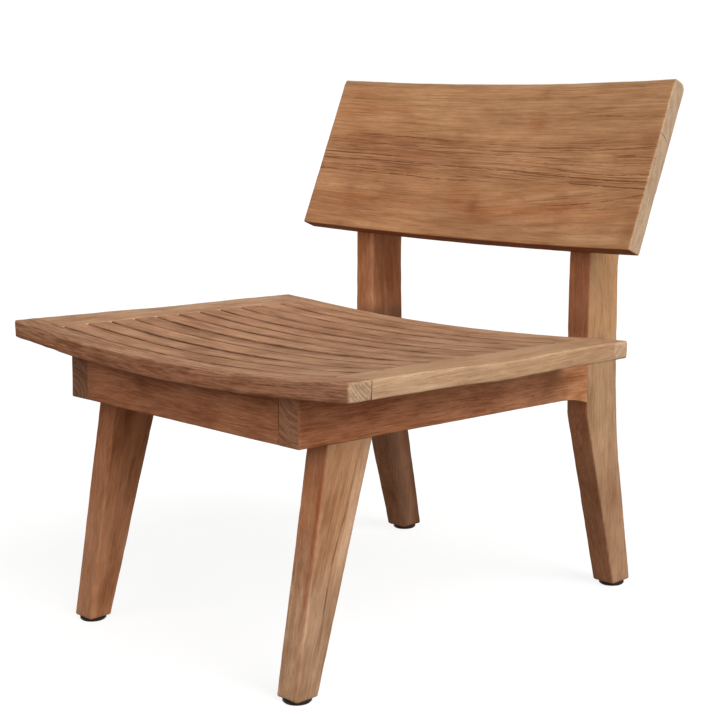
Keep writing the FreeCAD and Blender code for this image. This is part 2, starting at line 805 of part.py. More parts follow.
def board_screws(places, ease=0.0):
    """Screws forward through the posts into the back board, their heads under the plugs."""
    shapes = []
    for place, depth in places:
        grip = depth - number("plug_length")
        length = grip + number("screw_bite")
        shapes.append(placed(screw(length, ease), place + Vector(0, grip, 0), Vector(0, -1, 0)))
    return Part.makeCompound(shapes)


def plug_columns(places, ease=0.0):
    """Round columns behind the board's screws, long enough to leave the posts."""
    radius = number("plug_diameter / 2") + ease
    column = Part.makeCylinder(radius, number("post_depth"))
    shapes = []
    for place, depth in places:
        start = place + Vector(0, depth - number("plug_length") - ease, 0)
        shapes.append(placed(column, start, Vector(0, 1, 0)))
    return Part.makeCompound(shapes)


FEET = [("front_left", -1, FRONT_FOOT + " + front_foot_depth / 2"),
        ("front_right", 1, FRONT_FOOT + " + front_foot_depth / 2"),
        ("rear_left", -1, REAR_FOOT + " + rear_foot_depth / 2"),
        ("rear_right", 1, REAR_FOOT + " + rear_foot_depth / 2")]


def nail_shape(ease=0.0):
    """A flat headed nail, head down."""
    head = number("nail_head_diameter / 2") + ease
    shank = number("nail_diameter / 2") + ease
    base = number("nail_head_recess")
    top = base + number("nail_head_thickness")
    low = -number("overrun") if ease else base
    return turned([(0, low), (head, low), (head, top + ease), (shank, top + ease),
                   (shank, base + number("nail_length")), (0, base + number("nail_length") + ease)])


def nails(ease=0.0):
    """One nail in the middle of every glide."""
    across = number(FRAME_MIDDLE)
    shapes = []
    for name, side, setback in FEET:
        start = Vector(side * across, number(setback), 0)
        shapes.append(placed(nail_shape(ease), start, Vector(0, 0, 1)))
    return Part.makeCompound(shapes)


def glide_blank(name, side, setback):
    """A round glide with a bevelled lower edge."""
    body = add_body(name)
    profile = [("0", "0"), ("glide_diameter / 2 - glide_bevel", "0"), ("glide_diameter / 2", "glide_bevel"),
               ("glide_diameter / 2", "glide_height"), ("0", "glide_height")]
    sketch = add_sketch(body, "XZ", [profile])
    turn = body.newObject("PartDesign::Revolution", name + "_turn")
    turn.Profile = sketch
    turn.ReferenceAxis = (sketch, ["V_Axis"])
    turn.Angle = 360
    stand_on_floor(body)
    bind(body, "Placement.Base.x", "%d * %s" % (side, FRAME_MIDDLE))
    bind(body, "Placement.Base.y", "%s - %s" % (setback, ORIGIN_BACK))
    return body


# Assembly

ease = number("screw_clearance")
hands = (("left", -1), ("right", 1))
nodes = []

underside = underside_tool()
board_space = board_blank("board_space", "joint_clearance")
posts = [rear_leg_blank("rear_leg_%s_blank" % hand, side) for hand, side in hands]
doc.recompute()
screw_places = board_screw_places(posts[1])

batten_holes = add_shape("batten_screw_holes", batten_screws(ease), set_in_deck)
seat_holes = add_shape("seat_screw_holes", seat_screws(ease), set_in_deck)
cleat_holes = add_shape("cleat_screw_holes", cleat_screws(ease), set_in_deck)
board_holes = add_shape("board_screw_holes", board_screws(screw_places, ease), set_on_rake)
plug_holes = add_shape("plug_holes", plug_columns(screw_places, ease), set_on_rake)
nail_holes = add_shape("nail_holes", nails(ease), stand_on_floor)

# the seat
nodes.append(seat_rail("seat_front_rail", "0", "front_rail_depth", SLATS_START, True))
nodes.append(seat_rail("seat_rear_rail", SLATS_END, "rear_rail_depth", SLATS_END, False))
for hand, side in hands:
    nodes.append(side_rail("seat_side_rail_" + hand, side))
for index in range(int(number("slat_count"))):
    name = "seat_slat_%02d" % (index + 1)
    tools = [batten_holes, seat_holes] if index in screwed_slats() else [batten_holes]
    nodes.append(cut_away(name, slat(name + "_blank", index), tools))

# what the seat rests on
for hand, side in hands:
    apron = side_apron_blank("apron_side_%s_blank" % hand, side)
    nodes.append(cut_away("apron_side_" + hand, apron, [underside, cleat_holes]))
    cleat = seat_cleat_blank("seat_cleat_%s_blank" % hand, side)
    nodes.append(cut_away("seat_cleat_" + hand, cleat, [underside, seat_holes, cleat_holes]))
apron = cross_apron_blank("apron_front_blank", "apron_setback", "0")
nodes.append(cut_away("apron_front", apron, [underside]))
nodes.append(cross_apron_blank("apron_rear", REAR_APRON_FRONT, "(rear_apron_height - apron_drop)"))
batten = centre_batten_blank("seat_centre_batten_blank")
nodes.append(cut_away("seat_centre_batten", batten, [underside, batten_holes]))

# the legs and their glides
for (hand, side), post in zip(hands, posts):
    leg = front_leg_blank("front_leg_%s_blank" % hand, side)
    nodes.append(cut_away("front_leg_" + hand, leg, [nail_holes]))
    nodes.append(cut_away("rear_leg_" + hand, post, [board_space, board_holes, plug_holes, nail_holes]))
for place, side, setback in FEET:
    name = "foot_glide_" + place
    nodes.append(cut_away(name, glide_blank(name + "_blank", side, setback), [nail_holes]))

# the back board
board = board_blank("back_board_blank", "0")
dress_board(board)
nodes.append(cut_away("back_board", board, [board_holes]))

# plugs, cut flush with the posts
both_posts = doc.addObject("Part::MultiFuse", "both_posts")
both_posts.Shapes = posts
plugs = doc.addObject("Part::Common", "back_plugs")
plugs.Base = add_shape("plug_columns", plug_columns(screw_places), set_on_rake)
plugs.Tool = both_posts
plugs.Label = "back_plugs"
nodes.append(plugs)

# fasteners
nodes.append(add_shape("glide_nails", nails(), stand_on_floor))
nodes.append(add_shape("batten_screws", batten_screws(), set_in_deck))
nodes.append(add_shape("seat_screws", seat_screws(), set_in_deck))
nodes.append(add_shape("cleat_screws", cleat_screws(), set_in_deck))
nodes.append(add_shape("back_board_screws", board_screws(screw_places), set_on_rake))

doc.recompute()

for item in doc.Objects:
    if "Invalid" in item.State or "Error" in item.State:
        raise RuntimeError("%s did not build: %s" % (item.Label, item.State))
for node in nodes:
    if node.Shape.isNull() or not node.Shape.isValid() or not node.Shape.Solids:
        raise RuntimeError("%s is not a sound solid" % node.Label)

os.makedirs("parts", exist_ok=True)
for node in nodes:
    node.Shape.exportStep("parts/%s.step" % node.Label)
print("wrote %d pieces" % len(nodes))
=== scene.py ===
"""Looks of a low slatted lounge chair in worn solid teak, on a plain pale floor."""
from math import cos, dist, exp, pi, radians, sin, sqrt, tan

import bpy
import numpy as np
from mathutils import Matrix, Vector, noise

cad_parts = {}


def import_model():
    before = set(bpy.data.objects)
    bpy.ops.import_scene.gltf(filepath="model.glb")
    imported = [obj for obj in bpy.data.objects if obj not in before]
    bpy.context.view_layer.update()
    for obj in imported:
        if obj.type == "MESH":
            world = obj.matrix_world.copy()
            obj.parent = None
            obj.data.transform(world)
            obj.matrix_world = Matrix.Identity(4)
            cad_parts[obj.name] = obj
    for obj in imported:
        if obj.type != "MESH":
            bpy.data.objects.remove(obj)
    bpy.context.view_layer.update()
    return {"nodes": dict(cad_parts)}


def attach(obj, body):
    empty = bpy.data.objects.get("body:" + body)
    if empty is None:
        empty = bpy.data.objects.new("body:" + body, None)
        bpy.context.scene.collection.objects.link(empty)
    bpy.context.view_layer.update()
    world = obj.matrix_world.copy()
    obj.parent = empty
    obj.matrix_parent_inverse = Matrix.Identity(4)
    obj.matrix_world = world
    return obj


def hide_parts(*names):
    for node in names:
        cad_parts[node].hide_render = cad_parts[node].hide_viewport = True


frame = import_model()

# Sizes in metres and radians. Setbacks run back from the seat's front edge, heights up from the floor.
MIDDLE = 0.3217017
SEAT_TILT = radians(2.0)
SEAT_HEIGHT = 0.397
SEAT_LENGTH = 0.4935
SEAT_HALF = 0.325
RAIL_INNER = 0.265
FRONT_RAIL = 0.0355
SLATS_END = 0.4615
SLAT_COUNT = 11
SLAT_GAP = 0.0032
DECK = 0.023
DECK_CLEARANCE = 0.0003
DISH = ((0.017, 0.005), (0.0125, 0.003))
FRAME_INNER = 0.1874
FRAME_OUTER = 0.2234
FRAME_MIDDLE = (FRAME_INNER + FRAME_OUTER) / 2
APRON_START = 0.0218
APRON_DROP = 0.093
APRON_FLARE = (0.056, 0.009)
CROSS_APRON = 0.03
REAR_APRON_INSET = 0.02
REAR_APRON_HEIGHT = 0.05
GLIDE = 0.005
FRONT_LEG = dict(top=0.0639, top_depth=0.0713, foot=0.0079, foot_depth=0.0332)
POST = 0.5422
POST_DEPTH = 0.0635
REAR_FOOT = 0.6068
REAR_FOOT_DEPTH = 0.038
FRONT_KNEE = 0.259
BACK_KNEE = (0.2386, 0.078)
POST_BEND = (0.473, 0.036)
POST_LEAN = 0.0028
POST_TOP_MARGIN = 0.036
POST_TOP_DEPTH = 0.023
BOARD_RAKE = radians(23.9)
BOARD_FRONT = 0.5122
BOARD_BASE = 0.4926
BOARD_HALF = 0.30845
BOARD_HEIGHT = 0.235
BOARD_THICKNESS = 0.025
BOARD_ROUND = 0.01
BOARD_DISH = 0.0172
BOARD_BEVEL = (0.01, 0.0016)
CLEAT = (0.02, 0.024)
BATTEN = (0.04, 0.02)
MILLIMETRE = 0.001
RIGHT, BACK, UP = (1.0, 0.0, 0.0), (0.0, 1.0, 0.0), (0.0, 0.0, 1.0)
X, Y, Z = range(3)

# About how far apart the sections of each kind of piece lie.
STEPS = dict(cross_rail=0.0085, side_rail=0.009, slat=0.009, cross_apron=0.01, support=0.014, board=0.0085)

# How each kind of piece is worn, in millimetres: the radii of the arrises round its section and at its two
# ends, how far its faces wave, and how deep the chips in its arrises are.
WEAR = {
    "front_rail": ((2.2, 1.5, 1.8, 2.2), (1.8, 1.8), 0.4, 1.6),
    "rear_rail": ((1.5, 1.8, 1.8, 1.5), (1.8, 3.5), 0.3, 0.8),
    "side_rail": ((0.8, 2.2, 2.0, 1.0), (0.4, 0.4), 0.4, 0.9),
    "slat": (None, (0.6, 0.6), 0.3, 0.6),
    "side_apron": ((1.8,) * 4, (1.6, 0.3), 0.3, 0.6),
    "cross_apron": ((1.6,) * 4, (0.3, 0.3), 0.3, 0.5),
    "support": ((1.5,) * 4, (1.0, 1.0), 0.12, 0.4),
    "front_leg": ((2.0,) * 4, (2.2, 0.3), 0.4, 0.7),
    "rear_leg": ((2.0,) * 4, (3.0, 1.5), 0.4, 0.8),
    "board": ((1.6, 0.6, 1.5, BOARD_ROUND / MILLIMETRE, 3.0), (1.6, 1.6), 0.3, 0.6)}


# shared forms

def mix(a, b, t):
    return a + (b - a) * t


def smooth(low, high, value):
    """0 below low, 1 above high, and a soft step between."""
    t = min(max((value - low) / (high - low), 0.0), 1.0)
    return t * t * (3.0 - 2.0 * t)


def bump(centre, width, value):
    """A soft hump of height 1."""
    return exp(-((value - centre) / width) ** 2)


def deck(x, y, z):
    """From the tilted seat's own frame to the chair's."""
    c, s = cos(SEAT_TILT), sin(SEAT_TILT)
    return (x, y * c + z * s - MIDDLE, SEAT_HEIGHT - y * s + z * c)


def rake(x, y, z):
    """From the back board's own frame to the chair's."""
    c, s = cos(BOARD_RAKE), sin(BOARD_RAKE)
    return (x, y * c + z * s + BOARD_FRONT - MIDDLE, BOARD_BASE - y * s + z * c)


def hollow(y, x):
    """Depth of the seat's surface below its flat outline."""
    t = y / SEAT_LENGTH
    middle = mix(DISH[0][0], DISH[1][0], t)
    edge = mix(DISH[0][1], DISH[1][1], t)
    if abs(x) > RAIL_INNER:
        return edge * (SEAT_HALF - abs(x)) / (SEAT_HALF - RAIL_INNER)
    rise = middle - edge
    radius = (RAIL_INNER ** 2 + rise ** 2) / (2 * rise)
    return middle - radius + sqrt(radius ** 2 - x ** 2)


def board_curve(x):
    """How far the back board's front face stands behind its ends."""
    radius = (BOARD_HALF ** 2 + BOARD_DISH ** 2) / (2 * BOARD_DISH)
    return BOARD_DISH - radius + sqrt(max(radius ** 2 - x ** 2, 0.0))


def on_path(path, t):
    """A point at share t of the length of a path of (y, z) points."""
    steps = np.hypot(*np.diff(np.array(path), axis=0).T)
    reach = np.concatenate([[0.0], np.cumsum(steps)])
    return (np.interp(t * reach[-1], reach, [p[0] for p in path]),
            np.interp(t * reach[-1], reach, [p[1] for p in path]))


# timber: a closed mesh from a row of sections, with the wood's own coordinates on it

ARC_STEPS = 3
STRIP = 0.0025
CELL = 0.009
# How worn a vertex is: at the sides and in the middle of a rounded arris, round an end, and beside it.
ARRIS_WEAR = (0.4, 1.0)
END_WEAR = 0.9
BESIDE_END_WEAR = 0.5
# How many waves and chips fit in a metre, about.
WAVES = 14
CHIPS = 55


def ring_points(corners, radii, shrink, counts):
    """One closed ring round a section, its corners rounded and its sides divided."""
    n = len(corners)
    sides = [corners[(i + 1) % n] - corners[i] for i in range(n)]
    ways = [side / np.linalg.norm(side) for side in sides]
    inner = []
    for i in range(n):
        forward, backward = ways[i], -ways[i - 1]
        cross = max(sqrt(max(1 - float(forward @ backward) ** 2, 0.0)), 0.3)
        inner.append(corners[i] + (forward + backward) * shrink / cross)
    points, wear = [], []
    for i in range(n):
        forward, backward = ways[i], -ways[i - 1]
        radius = radii[i]
        for k in range(ARC_STEPS + 1):
            turn = pi / 2 * k / ARC_STEPS
            points.append(inner[i] + backward * radius * (1 - sin(turn))
                          + forward * radius * (1 - cos(turn)))
            wear.append(mix(*ARRIS_WEAR, sin(2 * turn)))
        start = inner[i] + forward * radius
        end = inner[(i + 1) % n] - forward * radii[(i + 1) % n]
        length = float((end - start) @ forward)
        strip = min(STRIP, length * 0.25)
        places = [strip + (length - 2 * strip) * j / counts[i] for j in range(counts[i])]
        for place in places + [length - strip]:
            points.append(start + forward * place)
            wear.append(0.0)
    return points, wear


def end_rows(section, inner, radius):
    """Rows that round an end, from its face inwards: a section, how far it shrinks, and how worn it is."""
    way = (section - inner) / np.linalg.norm((section - inner).mean(axis=0))
    rows = [(section, radius + STRIP, 0.0)]
    for k in range(ARC_STEPS, 0, -1):
        turn = pi / 2 * k / ARC_STEPS
        back, shrink = 1 - sin(turn), 1 - cos(turn)
        rows.append((section - way * radius * back, radius * shrink, END_WEAR))
    rows.append((section - way * radius, 0.0, BESIDE_END_WEAR))
    return rows + [(section - way * (radius + STRIP), 0.0, 0.0)]


def skin(name, rings):
    """A closed mesh over a row of rings, its faces turned outwards, with its end grain marked."""
    count = len(rings[0])
    spans = len(rings) - 1
    faces = []
    for i in range(spans):
        for j in range(count):
            following = (j + 1) % count
            faces.append((i * count + j, i * count + following,
                          (i + 1) * count + following, (i + 1) * count + j))
    faces.append(tuple(reversed(range(count))))
    faces.append(tuple(spans * count + j for j in range(count)))
    mesh = bpy.data.meshes.new(name)
    mesh.from_pydata([tuple(point) for ring in rings for point in ring], [], faces)
    mesh.update()
    if sum(face.normal.dot(face.center) * face.area for face in mesh.polygons) < 0:
        mesh.flip_normals()
        mesh.update()
    end_faces = [float(i in (0, spans - 1)) for i in range(spans) for j in range(count)] + [1.0, 1.0]
    mesh.attributes.new("end_grain", "FLOAT", "FACE").data.foreach_set("value", end_faces)
    mesh.polygons.foreach_set("use_smooth", [True] * len(mesh.polygons))
    return mesh


def weather(mesh, normals, wear, seed, wave, chip):
    """Lets the faces of a mesh wave a little, and bites chips out of its worn arrises."""
    for vertex, normal, worn in zip(mesh.vertices, normals, wear):
        swell = noise.noise(vertex.co * WAVES + Vector((seed * 3.7, seed * 1.3, seed * 2.1)))
        bite = max(noise.noise(vertex.co * CHIPS + Vector((seed, 7.0, seed * 2.0))) + 0.15, 0.0)
        vertex.co += normal * (wave * swell - chip * worn * bite) * MILLIMETRE


def grain_axes(along, roll):
    """Directions along the grain, across the piece and through it."""
    along = Vector(along).normalized()
    side = Vector(UP) if abs(along.z) < 0.8 else Vector(RIGHT)
    wide = Matrix.Rotation(roll, 3, along) @ side.cross(along).normalized()
    return along, wide, along.cross(wide)


def timber(name, node, sections, along, colour, wood, kind, seed, pith=(0.06, 0.05), arrises=None,
           checks=None, bend=None, roll=0.0):
    """A piece of solid wood that stands for a CAD node.

    sections is a row of corner lists along the grain, and pith where the tree's centre lies across it.
    kind says how the piece is worn, and arrises gives other radii round its section, in millimetres.
    colour gives the wood's colour for a place and a direction in the chair, checks how split it is there,
    and bend how far the grain has run aside, across the piece and through it, at a place in the grain."""
    radii, ends, wave, chip = WEAR[kind]
    radii = [radius * MILLIMETRE for radius in arrises or radii]
    sections = [np.array(section, float) for section in sections]
    middle = sections[len(sections) // 2]
    counts = [max(1, round(float(np.linalg.norm(following - corner)) / CELL))
              for corner, following in zip(middle, np.roll(middle, -1, axis=0))]
    rows = end_rows(sections[0], sections[1], ends[0] * MILLIMETRE)
    rows += [(section, 0.0, 0.0) for section in sections[1:-1]]
    rows += reversed(end_rows(sections[-1], sections[-2], ends[1] * MILLIMETRE))
    rings, wear = [], []
    for section, shrink, end_wear in rows:
        points, worn = ring_points(section, radii, shrink, counts)
        rings.append(points)
        wear += [max(w, end_wear) for w in worn]
    mesh = skin(name, rings)
    normals = [Vector(vertex.normal) for vertex in mesh.vertices]
    weather(mesh, normals, wear, seed, wave, chip)

    axes = grain_axes(along, roll)
    centre = sum((vertex.co for vertex in mesh.vertices), Vector()) / len(mesh.vertices)
    places, tints, splits = [], [], []
    for vertex, normal in zip(mesh.vertices, normals):
        u, v, w = ((vertex.co - centre).dot(axis) for axis in axes)
        aside = sway(u, seed) + (bend(u, v) if bend else 0.0)
        places += [u + seed * 2.37, v + aside[0] - pith[0], w + aside[1] - pith[1]]
        tints += [*colour(vertex.co, normal), 1.0]
        splits.append(checks(vertex.co) if checks else 0.0)
    for attribute, kind, field, values in (("wood", "FLOAT_VECTOR", "vector", places),
                                           ("tint", "FLOAT_COLOR", "color", tints),
                                           ("wear", "FLOAT", "value", wear),
                                           ("checks", "FLOAT", "value", splits)):
        mesh.attributes.new(attribute, kind, "POINT").data.foreach_set(field, values)

    mesh.materials.append(wood)
    piece = put_in_scene(name, mesh)
    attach(piece, "root")
    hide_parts(node)


def put_in_scene(name, data):
    """A new object in the scene."""
    thing = bpy.data.objects.new(name, data)
    bpy.context.scene.collection.objects.link(thing)
    return thing


def sway(u, seed):
    """The slow wander of the grain along a piece."""
    aside, through = (noise.noise(Vector((u * 3.0, seed * 5.3, row))) for row in (0.5, 9.5))
    return np.array((0.004 * aside + 0.006 * sin(seed * 2.9) * u,
                     0.003 * through + 0.004 * cos(seed * 2.9) * u))


# colours of the wood: sun-bleached and painted light where the sky and the sun reach it, red-brown and
# painted shade where they do not

def rgb(red, green, blue):
    """A colour from shares in percent."""
    return np.array((red, green, blue)) / 100


# Sun-bleached wood with painted light, and red-brown wood with painted shade.
BLEACHED_LIT = rgb(46, 27, 15.2)
SHELTERED_SHADED = rgb(47, 20, 9.5)


def at(colour, p):
    """A colour, or what a function of the place gives."""
    return colour(p) if callable(colour) else colour


def fade(first, second, axis, low, high):
    """A colour that turns from first to second along an axis of the chair."""
    return lambda p: mix(at(first, p), at(second, p), smooth(low, high, p[axis]))


FACE_TURN = (0.35, 0.75)


def by_face(top, front, side):
    """A colour by direction: the faces that look up, to the front, rear or down, and to the sides. Each is a
    colour or a function of the place; the faces differ partly as the wood weathers, partly as painted light
    and shade."""
    def of(p, n):
        face = mix(at(front, p), at(top, p), smooth(*FACE_TURN, n.z))
        return mix(face, at(side, p), smooth(*FACE_TURN, abs(n.x)))
    return of


HIDDEN = by_face(SHELTERED_SHADED, SHELTERED_SHADED, SHELTERED_SHADED)


# materials

class Nodes:
    """Short ways to add nodes to a material or a world."""

    def __init__(self, owner):
        owner.use_nodes = True
        self.owner = owner
        self.tree = owner.node_tree
        self.tree.nodes.clear()

    def add(self, kind, *links, **settings):
        node = self.tree.nodes.new("ShaderNode" + kind)
        for key, value in settings.items():
            setattr(node, key, value)
        for i, link in enumerate(links):
            if link is not None:
                self.put(link, node.inputs[i])
        return node

    def put(self, value, socket):
        """Links an output to a socket, or sets the socket to a number, a vector or a colour."""
        if isinstance(value, bpy.types.NodeSocket):
            self.tree.links.new(value, socket)
        elif socket.type == "RGBA":
            socket.default_value = (*value, 1.0)
        else:
            socket.default_value = value

    def math(self, operation, a, b=None, c=None, clamp=False):
        return self.add("Math", a, b, c, operation=operation, use_clamp=clamp).outputs[0]

    def times(self, a, b):
        return self.math("MULTIPLY", a, b)

    def swing(self, value, amount, level, clamp=False):
        """A noise turned into a number that swings round a level."""
        return self.math("MULTIPLY_ADD", self.math("SUBTRACT", value, 0.5), amount, level, clamp)

    def vector(self, operation, a, b=None, output="Vector"):
        return self.add("VectorMath", a, b, operation=operation).outputs[output]

    def combine(self, x, y, z=None):
        return self.add("CombineXYZ", x, y, z).outputs[0]

    def apart(self, vector):
        return self.add("SeparateXYZ", vector).outputs

    def noise(self, vector, scale=(1.0, 1.0, 1.0), detail=2.0, rough=0.5, output="Fac"):
        node = self.add("TexNoise")
        self.tree.links.new(self.vector("MULTIPLY", vector, scale), node.inputs["Vector"])
        node.inputs["Scale"].default_value = 1.0
        node.inputs["Detail"].default_value = detail
        node.inputs["Roughness"].default_value = rough
        return node.outputs[output]

    def curve(self, value, points, handle="AUTO"):
        """A value from a drawn curve: a row of (from 0 to 1, from 0 to 1) points."""
        node = self.add("FloatCurve")
        self.tree.links.new(value, node.inputs["Value"])
        drawn = node.mapping.curves[0].points
        drawn[0].location, drawn[1].location = points[0], points[-1]
        for place in points[1:-1]:
            drawn.new(*place)
        for point in drawn:
            point.handle_type = handle
        node.mapping.update()
        return node.outputs[0]

    def share(self, place, way, start, length):
        """How far a place lies in a direction, from a start, as a share of a length."""
        reach = self.vector("DOT_PRODUCT", place, way, "Value")
        return self.math("DIVIDE", self.math("SUBTRACT", reach, start), length)

    def step(self, value, low, high, start=0.0, end=1.0):
        """A soft step from start at low to end at high."""
        return self.add("MapRange", value, low, high, start, end, interpolation_type="SMOOTHSTEP",
                        clamp=True).outputs[0]

    def blend(self, factor, a, b, kind="MIX"):
        node = self.add("Mix", data_type="RGBA", blend_type=kind, clamp_factor=True)
        for name, value in (("Factor", factor), ("A", a), ("B", b)):
            self.put(value, [s for s in node.inputs if s.name == name and s.enabled][0])
        return [s for s in node.outputs if s.enabled][0]

    def attribute(self, name, output="Fac"):
        return self.add("Attribute", attribute_name=name).outputs[output]

    def finish(self, colour, roughness, height, **fixed):
        """A shader with a relief, and the material that it makes."""
        shader = self.add("BsdfPrincipled")
        relief = self.add("Bump")
        relief.inputs["Strength"].default_value = 1.0
        relief.inputs["Distance"].default_value = 1.0
        self.put(height, relief.inputs["Height"])
        for name, value in (("Base Color", colour), ("Roughness", roughness),
                            ("Normal", relief.outputs[0])):
            self.put(value, shader.inputs[name])
        for key, value in fixed.items():
            shader.inputs[key.replace("_", " ")].default_value = value
        self.add("OutputMaterial", shader.outputs[0])
        return self.owner


# Tones that multiply a wood's own colour.
GRAIN_TONES = (1.34, 1.42, 1.48), (0.66, 0.56, 0.48)
END_TONES = (1.24, 1.28, 1.32), (0.66, 0.61, 0.56)
PORE_TONE = (0.42, 0.36, 0.32)
VEIN_TONE = (0.5, 0.38, 0.31)
CHECK_TONE = (0.36, 0.26, 0.21)
RUBBED_TONE = (1.28, 1.4, 1.52)
SWIRL = 0.004
PORE_DEPTH = 0.00008
CHECK_DEPTH = 0.0008


def end_grain(n, wood, radius, ring, ends):
    """The tones of end grain: rings, pores and stains, as strong as ends says."""
    apart = n.apart(wood)
    cut = n.combine(radius, n.times(apart[1], 0.09), n.times(apart[2], 0.09))
    rings = n.step(n.noise(cut, (1.74 / ring,) * 3, 2.0, 0.6), 0.42, 0.58)
    tone = n.swing(n.noise(wood, (200.0, 420.0, 420.0), 3.0, 0.6), 1.1 * ends, 0.5 - 0.25 * ends)
    tone = n.swing(n.noise(wood, (1.0, 60.0, 60.0), 3.0), 0.7 * ends, tone)
    return n.blend(n.math("MULTIPLY_ADD", rings, 0.5 * ends, tone, True), *END_TONES)


def teak(name, short=1.0, bands=0.5, streaks=0.6, hairs=0.5, blotches=0.3, ring=0.006, rings=0.1, veins=0.35,
         split=1.0, ends=1.0, worn=0.45, coarse=0.00025, tint=None, marks=None):
    """Worn teak: growth rings, streaks, pores, raised fibres, drying checks and pale rubbed arrises.
    short is how short its fibres look, and marks adds single lines to the pattern of one piece."""
    n = Nodes(bpy.data.materials.new(name))
    wood = n.add("TexCoord").outputs["Object"] if tint else n.attribute("wood", "Vector")
    swirl = n.vector("SUBTRACT", n.noise(wood, (9.0, 26.0, 26.0), 2.0, output="Color"), (0.5, 0.5, 0.5))
    wood = n.vector("ADD", n.vector("MULTIPLY", swirl, (0.0, SWIRL, SWIRL)), wood)
    radius = n.vector("LENGTH", n.vector("MULTIPLY", wood, (0.0, 1.0, 1.0)), output="Value")
    across = n.combine(radius, n.times(n.apart(wood)[0], 0.004 * short))
    late = n.step(n.noise(across, (1.4 / ring, 1.4 / ring, 1.0), 1.0), 0.46, 0.62)

    band = n.noise(wood, (0.9 * short, 34.0, 34.0), 4.0, 0.6)
    streak = n.noise(wood, (1.9 * short, 150.0, 150.0), 4.0, 0.65)
    hair = n.noise(wood, (7.0 * short, 480.0, 480.0), 3.0, 0.65)
    pore = n.step(n.noise(wood, (30.0 * short, 900.0, 900.0), 1.0), 0.6, 0.7)
    blotch = n.noise(wood, (14.0, 30.0, 30.0), 4.0, 0.6)
    depth = 0.5 - rings * 0.3
    for value, amount in ((band, bands), (streak, streaks), (hair, hairs), (blotch, blotches)):
        depth = n.swing(value, amount * 2.0, depth)
    depth = n.math("MULTIPLY_ADD", late, rings, depth, True)
    pattern = n.blend(depth, *GRAIN_TONES)
    pattern = n.blend(n.times(pore, 0.18), pattern, PORE_TONE)
    vein = n.times(cracks(n, wood, 0.0047, 0.0006, 5.3, 3.0 * short, 7.0 * short), veins)
    pattern = n.blend(vein, pattern, VEIN_TONE)

    line = cracks(n, wood, 0.0058, 0.0006, 3.1, 4.0, 9.0)
    fissure = cracks(n, wood, 0.0031, 0.0004, 17.7, 4.0, 14.0)
    check = n.times(n.math("MAXIMUM", line, n.times(fissure, 0.7)), split)
    torn = n.math("ADD", n.attribute("checks"), n.math("SUBTRACT", blotch, 0.5))
    check = n.times(check, n.step(torn, 0.05, 0.5))
    pattern = n.blend(check, pattern, CHECK_TONE)
    pattern = n.blend(n.attribute("end_grain"), pattern, end_grain(n, wood, radius, ring, ends))
    if marks:
        pattern, check = marks(n, pattern, check)

    rubbed = n.times(n.attribute("wear"), n.step(n.noise(wood, (40.0, 90.0, 90.0), 3.0), 0.35, 0.7))
    pattern = n.blend(n.times(rubbed, worn), pattern, RUBBED_TONE)
    tinted = n.blend(1.0, pattern, tint or n.attribute("tint", "Color"), "MULTIPLY")
    height = n.times(streak, coarse)
    relief = (hair, coarse * 0.5), (late, -coarse * 0.4), (pore, -PORE_DEPTH), (check, -CHECK_DEPTH)
    for value, depth in relief:
        height = n.math("MULTIPLY_ADD", value, depth, height)
    return n.finish(tinted, n.math("MULTIPLY_ADD", streak, 0.2, 0.72), height, Specular_IOR_Level=0.08)


def drawn(n, place, level, lines, half_width, scale, breaks, least):
    """Single lines drawn on a face: place runs from 0 to 1 along it, and level from 0 to 1 across it, over
    the distance scale. Each line is its strength and its points, in percent. It wavers, comes and goes
    about as often as breaks says, never below the share least, and fades out at ends that lie inside the
    face."""
    along = n.combine(place, n.times(level, 0.15 * scale / BOARD_HEIGHT))
    level = n.swing(n.noise(along, (16.0, 40.0, 1.0), 3.0, 0.6), 0.0026 / scale, level)
    total = 0.0
    for line in lines:
        strength, points = line[0] / 100, [(x / 100, y / 100) for x, y in line[1:]]
        away = n.math("ABSOLUTE", n.math("SUBTRACT", level, n.curve(place, points)))
        here = n.math("MULTIPLY_ADD", away, -scale / half_width, 1.0, True)
        start, end = points[0][0], points[-1][0]
        run_out = (end - start) * 0.25
        first = strength if start < 0.01 else 0.0
        last = strength if end > 0.99 else 0.0
        ends = ((start, first), (start + run_out, strength), (end - run_out, strength), (end, last))
        total = n.math("MAXIMUM", n.times(here, n.curve(place, ends, "VECTOR")), total)
    return n.times(total, n.step(n.noise(along, (breaks, 60.0, 1.0), 3.0, 0.6), 0.36, 0.56, least, 1.0))


def cracks(n, wood, spacing, width, seed, wander, breaks):
    """Long thin splits along the grain: at most one in each row, which wanders and comes and goes."""
    apart = n.apart(wood)
    across = n.math("DIVIDE", n.math("MULTIPLY_ADD", apart[2], 0.73, apart[1]), spacing)
    row = n.math("FLOOR", across)
    lane = n.combine(n.times(apart[0], wander), n.times(row, 7.31), seed)
    centre = n.math("MULTIPLY_ADD", n.noise(lane), 1.1, -0.05)
    away = n.math("ABSOLUTE", n.math("SUBTRACT", n.math("FRACT", across), centre))
    lane = n.combine(n.times(apart[0], breaks), n.times(row, 3.77), seed + 9.0)
    open_here = n.step(n.noise(lane, detail=3.0, rough=0.6), 0.46, 0.62)
    return n.step(n.math("SUBTRACT", open_here, n.times(away, spacing / width)), -0.2, 0.4)


def plastic(name, colour, dusty):
    """Matt moulded plastic, scuffed and a little dusty."""
    n = Nodes(bpy.data.materials.new(name))
    place = n.add("TexCoord").outputs["Object"]
    grain = n.noise(place, (900.0, 900.0, 900.0), 3.0)
    dust = n.step(n.noise(place, (60.0, 60.0, 160.0), 4.0, 0.6), 0.45, 0.75)
    tint = n.blend(n.times(dust, 0.12), colour, dusty)
    return n.finish(tint, n.math("MULTIPLY_ADD", dust, 0.25, 0.5), n.times(grain, 0.00006),
                    Specular_IOR_Level=0.12)


